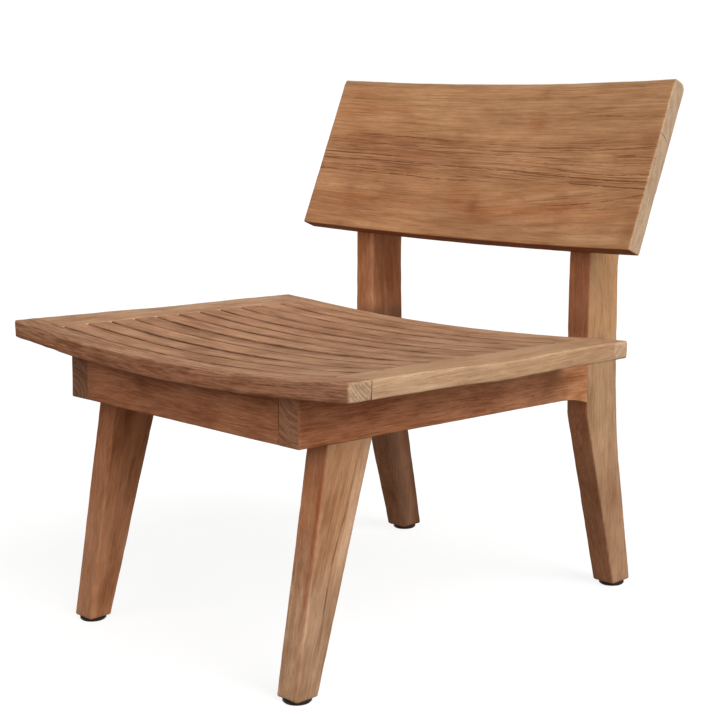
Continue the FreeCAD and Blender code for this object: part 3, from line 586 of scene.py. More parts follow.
def steel(name, bright, dull):
    """Plain zinc-plated steel, dulled in patches."""
    n = Nodes(bpy.data.materials.new(name))
    place = n.add("TexCoord").outputs["Object"]
    patch = n.noise(place, (140.0, 140.0, 140.0), 4.0, 0.6)
    brushed = n.noise(place, (300.0, 2400.0, 300.0))
    return n.finish(n.blend(patch, bright, dull), n.math("MULTIPLY_ADD", patch, 0.3, 0.28),
                    n.times(brushed, 0.00002), Metallic=1.0)


# the seat

def spread(start, end, step):
    """Evenly spaced numbers from start to end, about step apart."""
    count = max(2, round(abs(end - start) / step))
    return [mix(start, end, i / count) for i in range(count + 1)]


def cross_rail(y0, y1):
    """Sections of a full width seat rail."""
    rows = []
    for x in spread(-SEAT_HALF, SEAT_HALF, STEPS["cross_rail"]):
        low = hollow((y0 + y1) / 2, x)
        rows.append([deck(x, y0, -low), deck(x, y1, -low),
                     deck(x, y1, -low - DECK), deck(x, y0, -low - DECK)])
    return rows


# Where along a side rail its outer edge sags, and over what length.
SAG_PLACE = (0.265, 0.075)


def side_rail(side, dip):
    """Sections of a side rail, from the front rail to the rear rail. dip is how far its outer edge sags."""
    rows = []
    for y in spread(FRONT_RAIL, SLATS_END, STEPS["side_rail"]):
        low = hollow(y, RAIL_INNER)
        sag = dip * bump(*SAG_PLACE, y)
        rows.append([deck(side * RAIL_INNER, y, -low), deck(side * SEAT_HALF, y, -sag),
                     deck(side * SEAT_HALF, y, -DECK - sag * 0.6), deck(side * RAIL_INNER, y, -low - DECK)])
    return rows


SLAT_WIDTH = (SLATS_END - FRONT_RAIL - (SLAT_COUNT + 1) * SLAT_GAP) / SLAT_COUNT
# One row per slat from the front: how much lower its front and rear edges are worn, in millimetres,
# the radius of its front and rear arrises, and how dark it is at its front and rear.
SLAT_LOOKS = ((0.2, 0.1, 1.8, 2.2, 0.00, 0.02), (0.1, 0.9, 2.2, 3.6, 0.00, 0.2),
              (0.4, 0.1, 2.6, 2.0, 0.04, -0.06), (0.3, 0.9, 2.0, 3.4, 0.02, 0.22),
              (0.1, 0.2, 2.4, 2.0, -0.04, 0.02), (0.3, 0.4, 2.0, 2.4, 0.03, 0.08),
              (0.1, 0.5, 2.2, 2.8, -0.08, 0.06), (0.2, 0.2, 1.8, 2.2, 0.02, 0.00),
              (0.3, 0.1, 2.4, 1.8, 0.05, 0.04), (0.1, 0.3, 2.0, 2.2, 0.00, 0.06),
              (0.2, 0.1, 2.0, 1.8, -0.03, 0.02))


SLAT_RIGHT, SLAT_LEFT = rgb(38, 20.9, 11.8), rgb(37.5, 19.5, 10.7)
# Dirt and painted shade on the slats' faces towards the gaps.
GAP_DIRT_AND_SHADE = rgb(10, 4.2, 2.1)


def dished(y):
    """The grain of a dished piece follows most of its hollow."""
    return lambda u, v: np.array((0.0, 0.85 * hollow(y, u)))


def slat(index, wood):
    """One slat, counted from the front, worn in its middle, with dirt and painted shade on its faces towards
    the gaps.
    """
    y0 = FRONT_RAIL + SLAT_GAP + index * (SLAT_WIDTH + SLAT_GAP)
    y1 = y0 + SLAT_WIDTH
    front_worn, rear_worn, front_round, rear_round, front_tone, rear_tone = SLAT_LOOKS[index]
    rows = []
    for x in spread(-RAIL_INNER, RAIL_INNER, STEPS["slat"]):
        low = hollow((y0 + y1) / 2, x)
        worn = (1 - smooth(0.19, 0.262, abs(x))) * MILLIMETRE
        rows.append([deck(x, y0, -low - front_worn * worn), deck(x, y1, -low - rear_worn * worn),
                     deck(x, y1, -low - DECK), deck(x, y0, -low - DECK)])

    def colour(p, n):
        across = (p.y + MIDDLE - y0) / SLAT_WIDTH
        left = smooth(0.25, -0.15, p.x)
        tone = mix(front_tone, rear_tone, smooth(0.35, 0.85, across)) * (0.35 + 0.65 * left)
        # Dirt and painted shade on the faces that look into the gaps, ragged along the slat.
        gap_dirt_and_shade = smooth(0.25, 0.85, abs(n.y)) * 0.85
        gap_dirt_and_shade *= 0.45 + 0.55 * smooth(-0.25, 0.25, noise.noise(Vector((p.x * 22, p.y * 40, 3.0))))
        return mix(mix(SLAT_RIGHT, SLAT_LEFT, left) * (1 - tone), GAP_DIRT_AND_SHADE, gap_dirt_and_shade)

    name = "seat_slat_%02d" % (index + 1)
    timber(name + "_wood", name, rows, RIGHT, colour, wood, "slat", 11 + index * 1.7,
           (0.05 + 0.011 * (index % 4), 0.07 - 0.023 * (index % 3)), (front_round, rear_round, 1.5, 1.5),
           checks=lambda p: 0.25, bend=dished(y0))


seat_wood = teak("seat_teak", short=4.0, bands=0.4, streaks=0.45, hairs=0.75, blotches=0.7, ends=0.7)
rail_wood = teak("rail_teak", short=5.0, bands=0.4, streaks=1.0, hairs=1.4, blotches=0.4, ring=0.0042,
                 ends=1.2, coarse=0.0008)
pale_wood = teak("pale_teak", short=4.0, bands=0.25, streaks=0.2, hairs=0.5, blotches=0.45)


def rail_front(p):
    """The front rail's face, redder along its lower edge and darker about a quarter of the way along."""
    face = mix(rgb(43, 18.3, 9.5), rgb(45, 22, 12.2), smooth(0.365, 0.39, p.z))
    return face * (1 - 0.16 * bump(-0.07, 0.1, p.x))


# The front rail's top is darker at its left end, the left rail's is browner towards the slats, and the side
# rails' outer faces are palest at the front.
rail_top_front = fade(rgb(28.5, 15.4, 8.5), rgb(34.3, 18.1, 10), X, -0.22, -0.1)
rail_top_left = fade(rgb(37.5, 21, 11.9), rgb(41.5, 25, 14.7), X, -0.29, -0.32)
rail_side = fade(rgb(53.5, 33.8, 20.3), rgb(45, 26.8, 15), Y, -0.22, 0.02)

timber("front_rail_wood", "seat_front_rail", cross_rail(0.0, FRONT_RAIL), RIGHT,
       by_face(rail_top_front, rail_front, rgb(47, 29.7, 18.3)), rail_wood, "front_rail", seed=1,
       pith=(0.055, 0.06), checks=lambda p: 0.1, bend=dished(0.0))
timber("rear_rail_wood", "seat_rear_rail", cross_rail(SLATS_END, SEAT_LENGTH), RIGHT,
       by_face(rgb(40.5, 22.4, 12.4), SHELTERED_SHADED, rgb(50, 32.5, 20)), seat_wood, "rear_rail",
       seed=2, pith=(-0.05, 0.06), bend=dished(SEAT_LENGTH))
# Each side rail: its side, how far its outer edge sags, its top and its wood.
SIDE_RAIL_LOOKS = {"left": (-1, 0.001, rail_top_left, seat_wood),
                   "right": (1, 0.0035, rgb(41, 24.5, 13.8), pale_wood)}
for hand, (side, dip, top, wood) in SIDE_RAIL_LOOKS.items():
    timber("side_rail_%s_wood" % hand, "seat_side_rail_" + hand, side_rail(side, dip), BACK,
           by_face(top, SHELTERED_SHADED, rail_side), wood, "side_rail", seed=4 + side, pith=(0.02, 0.11))
for index in range(SLAT_COUNT):
    slat(index, seat_wood)


# what the seat rests on

def underside(y, x):
    return -hollow(y, x) - DECK - DECK_CLEARANCE


def deck_back(setback, level):
    """Where a plumb line at a setback crosses a level of the tilted seat."""
    return (setback - level * sin(SEAT_TILT)) / cos(SEAT_TILT)


SIDE_APRON_SPANS = 56


def side_apron(side):
    """Sections of a side apron, front to back. Its rear end is plumb and its lower edge flares to it."""
    inner, outer = side * FRAME_INNER, side * FRAME_OUTER
    rear_low = deck_back(POST, -APRON_DROP - APRON_FLARE[1])
    rear_high = deck_back(POST, 0.0)
    length, drop = APRON_FLARE
    radius = (length ** 2 + drop ** 2) / (2 * drop)
    rows = []
    for t in spread(0.0, 1.0, 1 / SIDE_APRON_SPANS):
        low = mix(APRON_START, rear_low, t)
        high = mix(APRON_START, rear_high, t)
        reach = max(low - (rear_low - length), 0.0)
        bottom = -APRON_DROP - (radius - sqrt(radius ** 2 - reach ** 2))
        rows.append([deck(inner, high, underside(high, inner)), deck(outer, high, underside(high, outer)),
                     deck(outer, low, bottom), deck(inner, low, bottom)])
    return rows


def cross_apron(y0, y1, top):
    """Sections of an apron between the side frames. top gives its upper edge."""
    return [[deck(x, y0, top(y0, x)), deck(x, y1, top(y1, x)),
             deck(x, y1, -APRON_DROP), deck(x, y0, -APRON_DROP)]
            for x in spread(-FRAME_INNER, FRAME_INNER, STEPS["cross_apron"])]


def support(x0, x1, y0, y1, bottom):
    """Sections of a support under the slats, front to back."""
    return [[deck(x0, y, underside(y, x0)), deck(x1, y, underside(y, x1)),
             deck(x1, y, bottom(y)), deck(x0, y, bottom(y))]
            for y in spread(y0, y1, STEPS["support"])]


REAR_APRON_START = deck_back(POST, -APRON_DROP) + REAR_APRON_INSET
APRON_BACK = APRON_START + CROSS_APRON
frame_wood = teak("frame_teak", short=5.0, bands=0.3, streaks=0.35, hairs=0.9, blotches=0.85, ends=1.3,
                  worn=0.3, coarse=0.0004)


def seat_shadow_tone(p):
    """How much darker an apron is painted close under the edge of the seat: a painted shadow of the seat."""
    setback = p.y + MIDDLE
    below = deck(p.x, setback, underside(setback, p.x))[2] - p.z
    return mix(0.68, 1.0, smooth(0.0, 0.016, below))


# The side aprons' faces, tan at the rear end.
APRON_FRESH = fade(rgb(51, 19.6, 9.1), rgb(57.5, 24.3, 11.9), Y, -0.2, 0.0)
APRON_SIDE = fade(APRON_FRESH, rgb(48, 21.5, 10), Y, 0.08, 0.2)
# Patches on the front apron's face: place along it, height, size and tone.
APRON_PATCHES = ((-0.155, 0.33, 0.022, 1.3), (-0.105, 0.318, 0.018, 1.28), (-0.06, 0.335, 0.012, 0.82),
                 (0.045, 0.333, 0.014, 0.85), (0.085, 0.318, 0.014, 1.2), (0.14, 0.314, 0.012, 0.82),
                 (0.12, 0.34, 0.016, 1.1), (-0.02, 0.318, 0.014, 0.9), (0.165, 0.345, 0.01, 0.85))


def front_apron_face(p):
    """The front apron's face, with paler and darker patches, darker towards its left end, and a painted
    shadow close under the seat.
    """
    tone = 1.0
    for x, z, size, depth in APRON_PATCHES:
        tone *= mix(1.0, depth, exp(-(((p.x - x) / (size * 1.6)) ** 2 + ((p.z - z) / size) ** 2)))
    tone *= mix(0.88, 1.12, smooth(-0.12, 0.05, p.x)) * seat_shadow_tone(p)
    return rgb(43, 17.2, 8.4) * (tone ** 0.9, tone, tone)


# The side aprons' front ends: side, colour and where the pith lies.
APRON_ENDS = {"left": (-1, rgb(26.8, 12.6, 7), (0.016, -0.03)),
              "right": (1, rgb(42.5, 19.7, 10.8), (-0.022, 0.052))}
DECK_WAY = (0, cos(SEAT_TILT), -sin(SEAT_TILT))
# Each side apron's faces carry a painted shadow of the seat close under it.
for hand, (side, sawn, pith) in APRON_ENDS.items():
    timber("apron_%s_wood" % hand, "apron_side_" + hand, side_apron(side), DECK_WAY,
           by_face(SHELTERED_SHADED, sawn, lambda p: APRON_SIDE(p) * seat_shadow_tone(p)), frame_wood, "side_apron",
           seed=21 + side, pith=pith)
    middle = side * (FRAME_INNER - CLEAT[0] / 2)
    cleat = support(middle - CLEAT[0] / 2, middle + CLEAT[0] / 2, APRON_BACK, SLATS_END,
                    lambda y: underside(y, middle) - CLEAT[1])
    timber("cleat_%s_wood" % hand, "seat_cleat_" + hand, cleat, BACK, HIDDEN, frame_wood, "support",
           seed=24 + side)
timber("front_apron_wood", "apron_front", cross_apron(APRON_START, APRON_BACK, underside), RIGHT,
       by_face(SHELTERED_SHADED, front_apron_face, SHELTERED_SHADED), frame_wood, "cross_apron", seed=27,
       pith=(0.05, 0.03))
rear_apron = cross_apron(REAR_APRON_START, REAR_APRON_START + CROSS_APRON,
                         lambda y, x: REAR_APRON_HEIGHT - APRON_DROP)
timber("rear_apron_wood", "apron_rear", rear_apron, RIGHT, HIDDEN, frame_wood, "cross_apron", seed=29,
       pith=(0.04, 0.05))
batten = support(-BATTEN[0] / 2, BATTEN[0] / 2, APRON_BACK, REAR_APRON_START,
                 lambda y: underside(y, 0.0) - BATTEN[1])
timber("batten_wood", "seat_centre_batten", batten, BACK, HIDDEN, frame_wood, "support", seed=31)


# the legs

def floor_height(setback, level):
    return SEAT_HEIGHT + (level - setback * sin(SEAT_TILT)) / cos(SEAT_TILT)


def leg_sections(front, back, side, rows):
    """Sections between two (setback, height) paths, each walked from the foot to the top."""
    inner, outer = side * FRAME_INNER, side * FRAME_OUTER
    sections = []
    for i in range(rows + 1):
        (fy, fz), (by, bz) = on_path(front, i / rows), on_path(back, i / rows)
        sections.append([(inner, fy - MIDDLE, fz), (outer, fy - MIDDLE, fz),
                         (outer, by - MIDDLE, bz), (inner, by - MIDDLE, bz)])
    return sections


FRONT_LEG_SPANS = 32
REAR_LEG_SPANS = 72


def front_leg(side):
    top, bottom = FRONT_LEG["top"], FRONT_LEG["foot"]
    top_back, bottom_back = top + FRONT_LEG["top_depth"], bottom + FRONT_LEG["foot_depth"]
    front = [(bottom, GLIDE), (top, floor_height(top, -APRON_DROP))]
    back = [(bottom_back, GLIDE), (top_back, floor_height(top_back, -APRON_DROP))]
    return leg_sections(front, back, side, FRONT_LEG_SPANS)


def bend(corner, before, after, reach, steps=8):
    """Points of an arc that rounds a corner, touching both runs at reach from it."""
    start = corner + (before - corner).normalized() * reach
    end = corner + (after - corner).normalized() * reach
    places = np.linspace(0.0, 1.0, steps + 1)
    return [tuple(start.lerp(corner, t).lerp(corner.lerp(end, t), t)) for t in places]


def board_back(x, rise):
    """Setback and height of the board's rear face, less what is raked."""
    place = rake(x, board_curve(x) + BOARD_THICKNESS, rise)
    return place[1] + MIDDLE, place[2]


def rear_leg(side):
    """Sections of a rear leg and post. The post's top lies on the curved rear face of the board."""
    rows = []
    knee, knee_reach = BACK_KNEE
    turn, turn_reach = POST_BEND
    post_back = POST + POST_DEPTH
    foot_back = REAR_FOOT + REAR_FOOT_DEPTH
    rise = BOARD_HEIGHT - POST_TOP_MARGIN
    face = BOARD_THICKNESS + BOARD_DISH / 2
    top_back = rake(0.0, face + POST_TOP_DEPTH, rise)
    top_back = Vector((top_back[1] + MIDDLE, top_back[2]))
    bent, turned = Vector((post_back, knee)), Vector((post_back, turn))
    back = [(foot_back, GLIDE), *bend(bent, Vector((foot_back, GLIDE)), turned, knee_reach)]
    back += [*bend(turned, bent, top_back, turn_reach), tuple(top_back)]
    board_low = board_back(FRAME_MIDDLE, 0.0)
    front_top = board_back(FRAME_MIDDLE, rise)
    start = board_low[1] + max(POST + POST_LEAN - board_low[0], 0.0) / tan(BOARD_RAKE)
    path = [(REAR_FOOT, GLIDE), (POST, FRONT_KNEE), (POST, floor_height(POST, 0.0)),
            (POST + POST_LEAN, start), front_top]
    lengths = [dist(a, b) for a, b in zip(path, path[1:])]
    marks = [float(m) for m in np.cumsum(lengths) / sum(lengths)]
    for t in sorted({*spread(0.0, 1.0, 1 / REAR_LEG_SPANS), *marks[:3]}):
        by, bz = on_path(back, t)
        fy, fz = on_path(path, t)
        row = []
        for x in (FRAME_INNER, FRAME_OUTER):
            lift = board_back(x, 0.0)[0] - board_low[0] if t > marks[2] + 0.001 else 0.0
            row.append((side * x, fy + lift - MIDDLE, fz))
        row += [(side * FRAME_OUTER, by - MIDDLE, bz), (side * FRAME_INNER, by - MIDDLE, bz)]
        rows.append(row)
    return rows


# Between these heights a leg turns from its foot's colours to its head's, and from leg to post.
LEG_TURN = (0.08, 0.26)
POST_TURN = (0.35, 0.38)


def leg_colour(front_high, front_low, side_high, side_low):
    """Colours of a leg's front and side faces, at its head and near its foot."""
    return by_face(BLEACHED_LIT, fade(front_low, front_high, Z, *LEG_TURN),
                   fade(side_low, side_high, Z, *LEG_TURN))


def right_rear_front(p):
    """The right rear leg's front, paler just under the apron."""
    return rgb(50, 21.8, 11.2) * (1.0 + 0.5 * smooth(0.15, 0.25, p.z) * smooth(0.36, 0.33, p.z))


def left_rear_shaded_inner(p):
    """The left rear leg's inner side, painted dark as shade under the seat, with a lighter streak down its
    middle.
    """
    line = np.interp(p.z, (0.05, 0.2, 0.28), (0.3, 0.268, 0.25))
    return rgb(17.2, 8, 4.3) * (1 + 0.45 * bump(line, 0.008, p.y))


def inner_side(colour):
    """A colour for the inner side of the left rear leg. Its outer side is plain."""
    return lambda p: rgb(43, 20.5, 10.4) if p.x < -FRAME_MIDDLE else colour(p)


# The right rear leg's outer side is bleached and painted light, and greyer towards the foot. The left post
# carries a painted highlight beside the arris that the light meets, and painted shade away from it.
right_rear_side = fade(rgb(37.7, 21.2, 12), rgb(40.8, 24, 12.9), Z, 0.15, 0.25)
left_post_front_light_and_shade = fade(rgb(56, 24.5, 12.1), rgb(66, 33.5, 18.5), X, -0.2, -0.19)
left_post_inner_light_and_shade = fade(rgb(57, 25.5, 12.5), rgb(37.5, 14.8, 6.6), Y, 0.218, 0.24)
# Each rear leg below the seat, and its post above.
REAR_LEG_LOOKS = {
    "left": (by_face(BLEACHED_LIT, rgb(41, 18, 9.3), inner_side(left_rear_shaded_inner)),
             by_face(BLEACHED_LIT, left_post_front_light_and_shade, inner_side(left_post_inner_light_and_shade))),
    "right": (by_face(BLEACHED_LIT, right_rear_front, right_rear_side),
              by_face(BLEACHED_LIT, rgb(40.5, 16.6, 8.3), rgb(45, 25, 12)))}


def rear_leg_colour(hand):
    leg, post = REAR_LEG_LOOKS[hand]
    return lambda p, n: mix(leg(p, n), post(p, n), smooth(*POST_TURN, p.z))


leg_wood = teak("leg_teak", short=4.0, bands=0.35, streaks=0.2, hairs=0.6, blotches=0.8, veins=0.1,
                worn=0.2, coarse=0.0003)
LEG_SPAN = 0.32
LEG_SIDE_SPAN = 0.15
LEG_BREAKS = 9.0
# Pens that draw lines: half width, size of the face across them, how often they break and their least
# share.
SIDE_PEN = (0.0023, LEG_SIDE_SPAN, LEG_BREAKS, 0.45)
STREAK_PEN = (0.0065, FRAME_OUTER - FRAME_INNER, LEG_BREAKS, 0.4)
# Lines on the right front leg, in percent: strength, then points along its height and across its face.
SIDE_LINES = ((100, (12, 25), (33, 35), (48, 43), (70, 61), (95, 79)),
              (60, (40, 28), (60, 40), (85, 56)), (70, (3, 7), (14, 8)))
FRONT_STREAKS = ((100, (16, 72), (40, 78), (60, 84), (92, 86)),
                 (70, (3, 90), (20, 92)), (40, (55, 25), (80, 20)))


def right_leg_marks(n, pattern, check):
    """A dark line along the right front leg's outer side, and a red streak beside its front arris."""
    place = n.add("TexCoord").outputs
    turned = n.apart(place["Normal"])
    height = n.share(place["Object"], UP, 0.0, LEG_SPAN)
    back = n.share(place["Object"], BACK, -MIDDLE, LEG_SIDE_SPAN)
    across = n.share(place["Object"], RIGHT, FRAME_INNER, FRAME_OUTER - FRAME_INNER)
    line = drawn(n, height, back, SIDE_LINES, *SIDE_PEN)
    streak = drawn(n, height, across, FRONT_STREAKS, *STREAK_PEN)
    pattern = n.blend(n.times(line, n.step(turned[0], 0.7, 0.9)), pattern, (0.46, 0.36, 0.29))
    streak = n.times(streak, n.step(n.times(turned[1], -1.0), 0.6, 0.85))
    return n.blend(streak, pattern, (0.76, 0.5, 0.43)), check


right_leg_wood = teak("right_leg_teak", short=4.0, bands=0.4, streaks=0.25, hairs=0.6, blotches=0.8,
                      veins=0.1, worn=0.1, coarse=0.0003, marks=right_leg_marks)


def right_leg_side(p):
    """The right front leg's outer side, paler behind its dark line."""
    line = np.interp(p.z, (0.06, 0.15, 0.22, 0.29), (-0.277, -0.256, -0.23, -0.205))
    return mix(rgb(50.5, 26.2, 13.2), rgb(60, 35.5, 21.3), smooth(0.0, 0.006, p.y - line))


# Each front leg: side, colours and wood.
FRONT_LEG_LOOKS = {
    "left": (-1, leg_colour(rgb(47, 18.6, 9.2), rgb(48.5, 22.8, 11.9), rgb(58, 23.6, 10.8),
                            rgb(51, 22.6, 11.1)), leg_wood),
    "right": (1, leg_colour(rgb(56, 23.5, 11.3), rgb(63, 37, 21.8), right_leg_side,
                            rgb(38, 22, 12.7)), right_leg_wood)}
for hand, (side, looks, wood) in FRONT_LEG_LOOKS.items():
    timber("front_leg_%s_wood" % hand, "front_leg_" + hand, front_leg(side), (0, 0.3, 1), looks, wood,
           "front_leg", seed=41 + side, pith=(0.03 * side, -0.05))
    timber("rear_leg_%s_wood" % hand, "rear_leg_" + hand, rear_leg(side), (0, -0.05, 1),
           rear_leg_colour(hand), leg_wood, "rear_leg", seed=46 + side, pith=(0.03 * side, 0.07))


# the back board

def board():
    """Sections of the curved board, its front arris eased along the top."""
    height, depth = BOARD_BEVEL
    rows = []
    for x in spread(-BOARD_HALF, BOARD_HALF, STEPS["board"]):
        face = board_curve(x)
        rows.append([rake(x, face, 0.0), rake(x, face, BOARD_HEIGHT - height),
                     rake(x, face + depth, BOARD_HEIGHT), rake(x, face + BOARD_THICKNESS, BOARD_HEIGHT),
                     rake(x, face + BOARD_THICKNESS, 0.0)])
    return rows


def board_height_of(p):
    """Height of a place up the raked board, as a share."""
    reach = (p.z - BOARD_BASE) * cos(BOARD_RAKE) + (p.y + MIDDLE - BOARD_FRONT) * sin(BOARD_RAKE)
    return reach / BOARD_HEIGHT


BOARD_FACE = rgb(53, 26.2, 12.2)
BOARD_RED_FACE = rgb(45.5, 21.2, 10.4)
BOARD_GOLD = rgb(60, 33, 16)
BOARD_LOW = rgb(60, 33, 16.5)
BOARD_EDGE = rgb(50, 25.5, 11.2)
BOARD_END = rgb(51, 35, 22.5)
# The board's underside, painted dark as shade.
BOARD_UNDER_SHADE = rgb(27.3, 10.3, 4.5)
BOARD_REAR = rgb(50, 26.2, 13.8)
# Patches on the board's front: place along it, share of its height, half width, half height, tone.
BOARD_PATCHES = (
    (0.01, 0.23, 0.009, 0.07, (0.8, 0.72, 0.66)), (0.089, 0.95, 0.01, 0.05, (0.72, 0.66, 0.62)),
    (0.088, 0.72, 0.012, 0.05, (0.92, 0.82, 0.77)), (0.295, 0.64, 0.014, 0.05, (0.84, 0.74, 0.74)),
    (0.3, 0.11, 0.012, 0.06, (0.8, 0.72, 0.68)), (0.24, 0.43, 0.045, 0.035, (1.12, 1.16, 1.2)),
    (0.04, 0.58, 0.14, 0.08, (1.14, 1.18, 1.22)), (0.18, 0.5, 0.12, 0.08, (1.1, 1.13, 1.17)),
    (-0.2, 0.16, 0.12, 0.09, (0.9, 0.86, 0.85)), (0.02, 0.12, 0.1, 0.09, (0.82, 0.82, 0.83)),
    (0.1, 0.19, 0.08, 0.045, (0.98, 0.88, 0.83)), (-0.24, 0.6, 0.05, 0.03, (0.92, 0.82, 0.78)),
    (0.18, 0.225, 0.05, 0.025, (0.96, 0.84, 0.78)), (-0.23, 0.82, 0.035, 0.05, (0.98, 0.87, 0.82)),
    (-0.28, 0.78, 0.025, 0.05, (0.96, 0.85, 0.8)), (-0.08, 0.49, 0.025, 0.06, (1.12, 1.17, 1.28)),
    (0.06, 0.48, 0.03, 0.05, (1.1, 1.13, 1.2)), (0.215, 0.555, 0.012, 0.04, (1.14, 1.2, 1.26)),
    (-0.285, 0.31, 0.02, 0.06, (1.14, 1.22, 1.28)), (0.27, 0.49, 0.04, 0.06, (0.9, 0.84, 0.82)),
    (-0.24, 0.2, 0.045, 0.04, (0.9, 0.83, 0.78)), (-0.02, 0.26, 0.02, 0.07, (0.93, 0.82, 0.76)),
    (0.03, 0.16, 0.04, 0.05, (0.98, 0.85, 0.78)), (-0.08, 0.33, 0.04, 0.03, (1.06, 1.08, 1.1)),
    (0.2, 0.34, 0.06, 0.025, (1.1, 1.14, 1.18)), (0.09, 0.78, 0.02, 0.07, (0.95, 0.88, 0.85)),
    (-0.27, 0.9, 0.04, 0.05, (0.94, 0.86, 0.82)), (0.2, 0.82, 0.08, 0.03, (0.94, 0.87, 0.84)))


def board_front(p):
    """The board's front: golden above, a red-brown patch to the left of the middle, a paler lower band."""
    up = board_height_of(p)
    face = mix(BOARD_FACE, BOARD_RED_FACE, bump(-0.16, 0.13, p.x) * bump(0.5, 0.17, up))
    face = mix(face, BOARD_GOLD, 0.8 * bump(0.84, 0.11, up))
    face = mix(face, BOARD_LOW, 0.5 * bump(0.05, 0.06, up) * smooth(0.0, 0.2, p.x))
    for x, level, wide, high, tone in BOARD_PATCHES:
        face = mix(face, face * tone, bump(x, wide, p.x) * bump(level, high, up))
    return mix(face, BOARD_EDGE, smooth(0.955, 0.97, up))


board_faces = by_face(BLEACHED_LIT, board_front, BOARD_END)


def board_colour(p, n):
    """The board's colours, with painted shade on its lower edge and its plain rear face."""
    under = mix(board_faces(p, n), BOARD_UNDER_SHADE, smooth(-0.3, -0.7, n.z))
    return under if n.y < 0.2 else mix(under, BOARD_REAR, smooth(0.2, 0.6, n.y))


def board_checks(p):
    """How split the board is: most in the middle of its front, and not behind it."""
    up = board_height_of(p)
    face = rake(0.0, board_curve(p.x), 0.0)
    behind = (p.y - face[1]) * cos(BOARD_RAKE) - (p.z - face[2]) * sin(BOARD_RAKE)
    middle = smooth(0.32, 0.38, up) * smooth(0.65, 0.6, up)
    return (0.1 + mix(0.35, 0.5, smooth(-0.05, -0.15, p.x)) * middle) * smooth(0.012, 0.004, behind)


# How far the grain has drawn together at the board's right end: (height above the knot, shift), in metres.
BOARD_DRAW = ((-0.08, 0.0), (-0.065, -0.002), (-0.05, -0.014), (-0.04, -0.013), (-0.005, -0.024),
              (0.005, 0.012), (0.02, 0.013), (0.045, 0.005), (0.06, -0.002), (0.12, 0.0))


def board_bend(u, v):
    """The grain follows the board's curve and draws together at a knot at its right end."""
    shift = np.interp(v + 0.0388, *zip(*BOARD_DRAW)) * smooth(-0.12, 0.33, u)
    return np.array((shift, board_curve(u)))


RED_PEN = (0.0085, BOARD_HEIGHT, 12.0, 0.16)
PALE_PEN = (0.005, BOARD_HEIGHT, 20.0, 0.16)
CHECK_PEN = (0.0012, BOARD_HEIGHT, 34.0, 0.25)
END_PEN = (0.0016, BOARD_HEIGHT, 2.0, 0.16)
# Lines on the board's front, in percent: strength, then points along its length and up its height. The line
# across its end runs from front to back.
BOARD_CHECKS = (
    (75, (4, 63), (25, 63), (40, 61.5)),
    (40, (18, 65.5), (45, 69.5)),
    (60, (0, 59), (8, 59)),
    (40, (10, 57.5), (37, 57)),
    (90, (0, 50), (15, 50), (32, 50)),
    (85, (0, 46), (30, 46), (55, 44.5), (80, 41), (100, 39)),
    (65, (0, 41.5), (32, 42.5)),
    (80, (0, 38), (25, 38), (40, 36.5), (55, 36.5), (62, 35)),
    (65, (42, 41.5), (55, 39.5), (70, 38.5)),
    (70, (67, 58.5), (77, 57.5), (100, 60)),
    (50, (48, 61), (62, 59.5)),
    (70, (49, 55.5), (62, 54), (80, 51.5)),
    (70, (87, 53), (95, 54), (100, 53)),
    (80, (59, 48), (70, 47), (78, 44.5), (100, 43)),
    (90, (73, 38.5), (83, 37), (100, 35)),
    (45, (66, 25.5), (80, 29), (92, 34)),
    (85, (71, 23.5), (83, 25.5), (100, 31.5)),
    (55, (82, 22.5), (90, 24.5)),
    (50, (82, 21), (91, 23)),
    (75, (80, 78.5), (90, 78.5)),
    (45, (74, 81.5), (81, 81)),
    (50, (20, 84), (45, 85)))
BOARD_RED = (
    (90, (53, 18.5), (62, 18.5), (80, 22.5), (100, 28.5)),
    (60, (60, 9), (75, 12.5), (100, 20)),
    (70, (2, 21.5), (20, 20.5), (40, 19)),
    (70, (3, 53.5), (20, 52.5), (42, 51)),
    (60, (10, 40), (25, 39.5), (40, 38)),
    (60, (55, 25), (70, 33), (88, 38.5)),
    (60, (5, 80), (15, 81), (30, 80)))
END_CRACKS = ((100, (0, 68.5), (50, 66.5), (100, 63.5)),)
BOARD_PALE = (
    (80, (0, 27), (10, 27.5), (22, 27)),
    (60, (25, 66), (36, 67), (53, 65.5), (80, 65.5)),
    (85, (21, 14), (48, 13.5)),
    (80, (55, 11), (68, 13.5), (78, 16), (87, 16)),
    (65, (53, 6), (77, 10), (93, 12)),
    (90, (79, 4), (89, 5), (98, 5)),
    (80, (60, 45.5), (64, 46), (68, 46)),
    (90, (52, 23), (57, 23.5), (71, 29), (88, 35)),
    (80, (58, 13), (61, 13.5), (78, 20), (99, 27.5)),
    (60, (49, 35), (52, 34.5), (62, 33)),
    (60, (70, 69.5), (91, 70.5)),
    (80, (10, 3.5), (22, 3), (41, 2)))


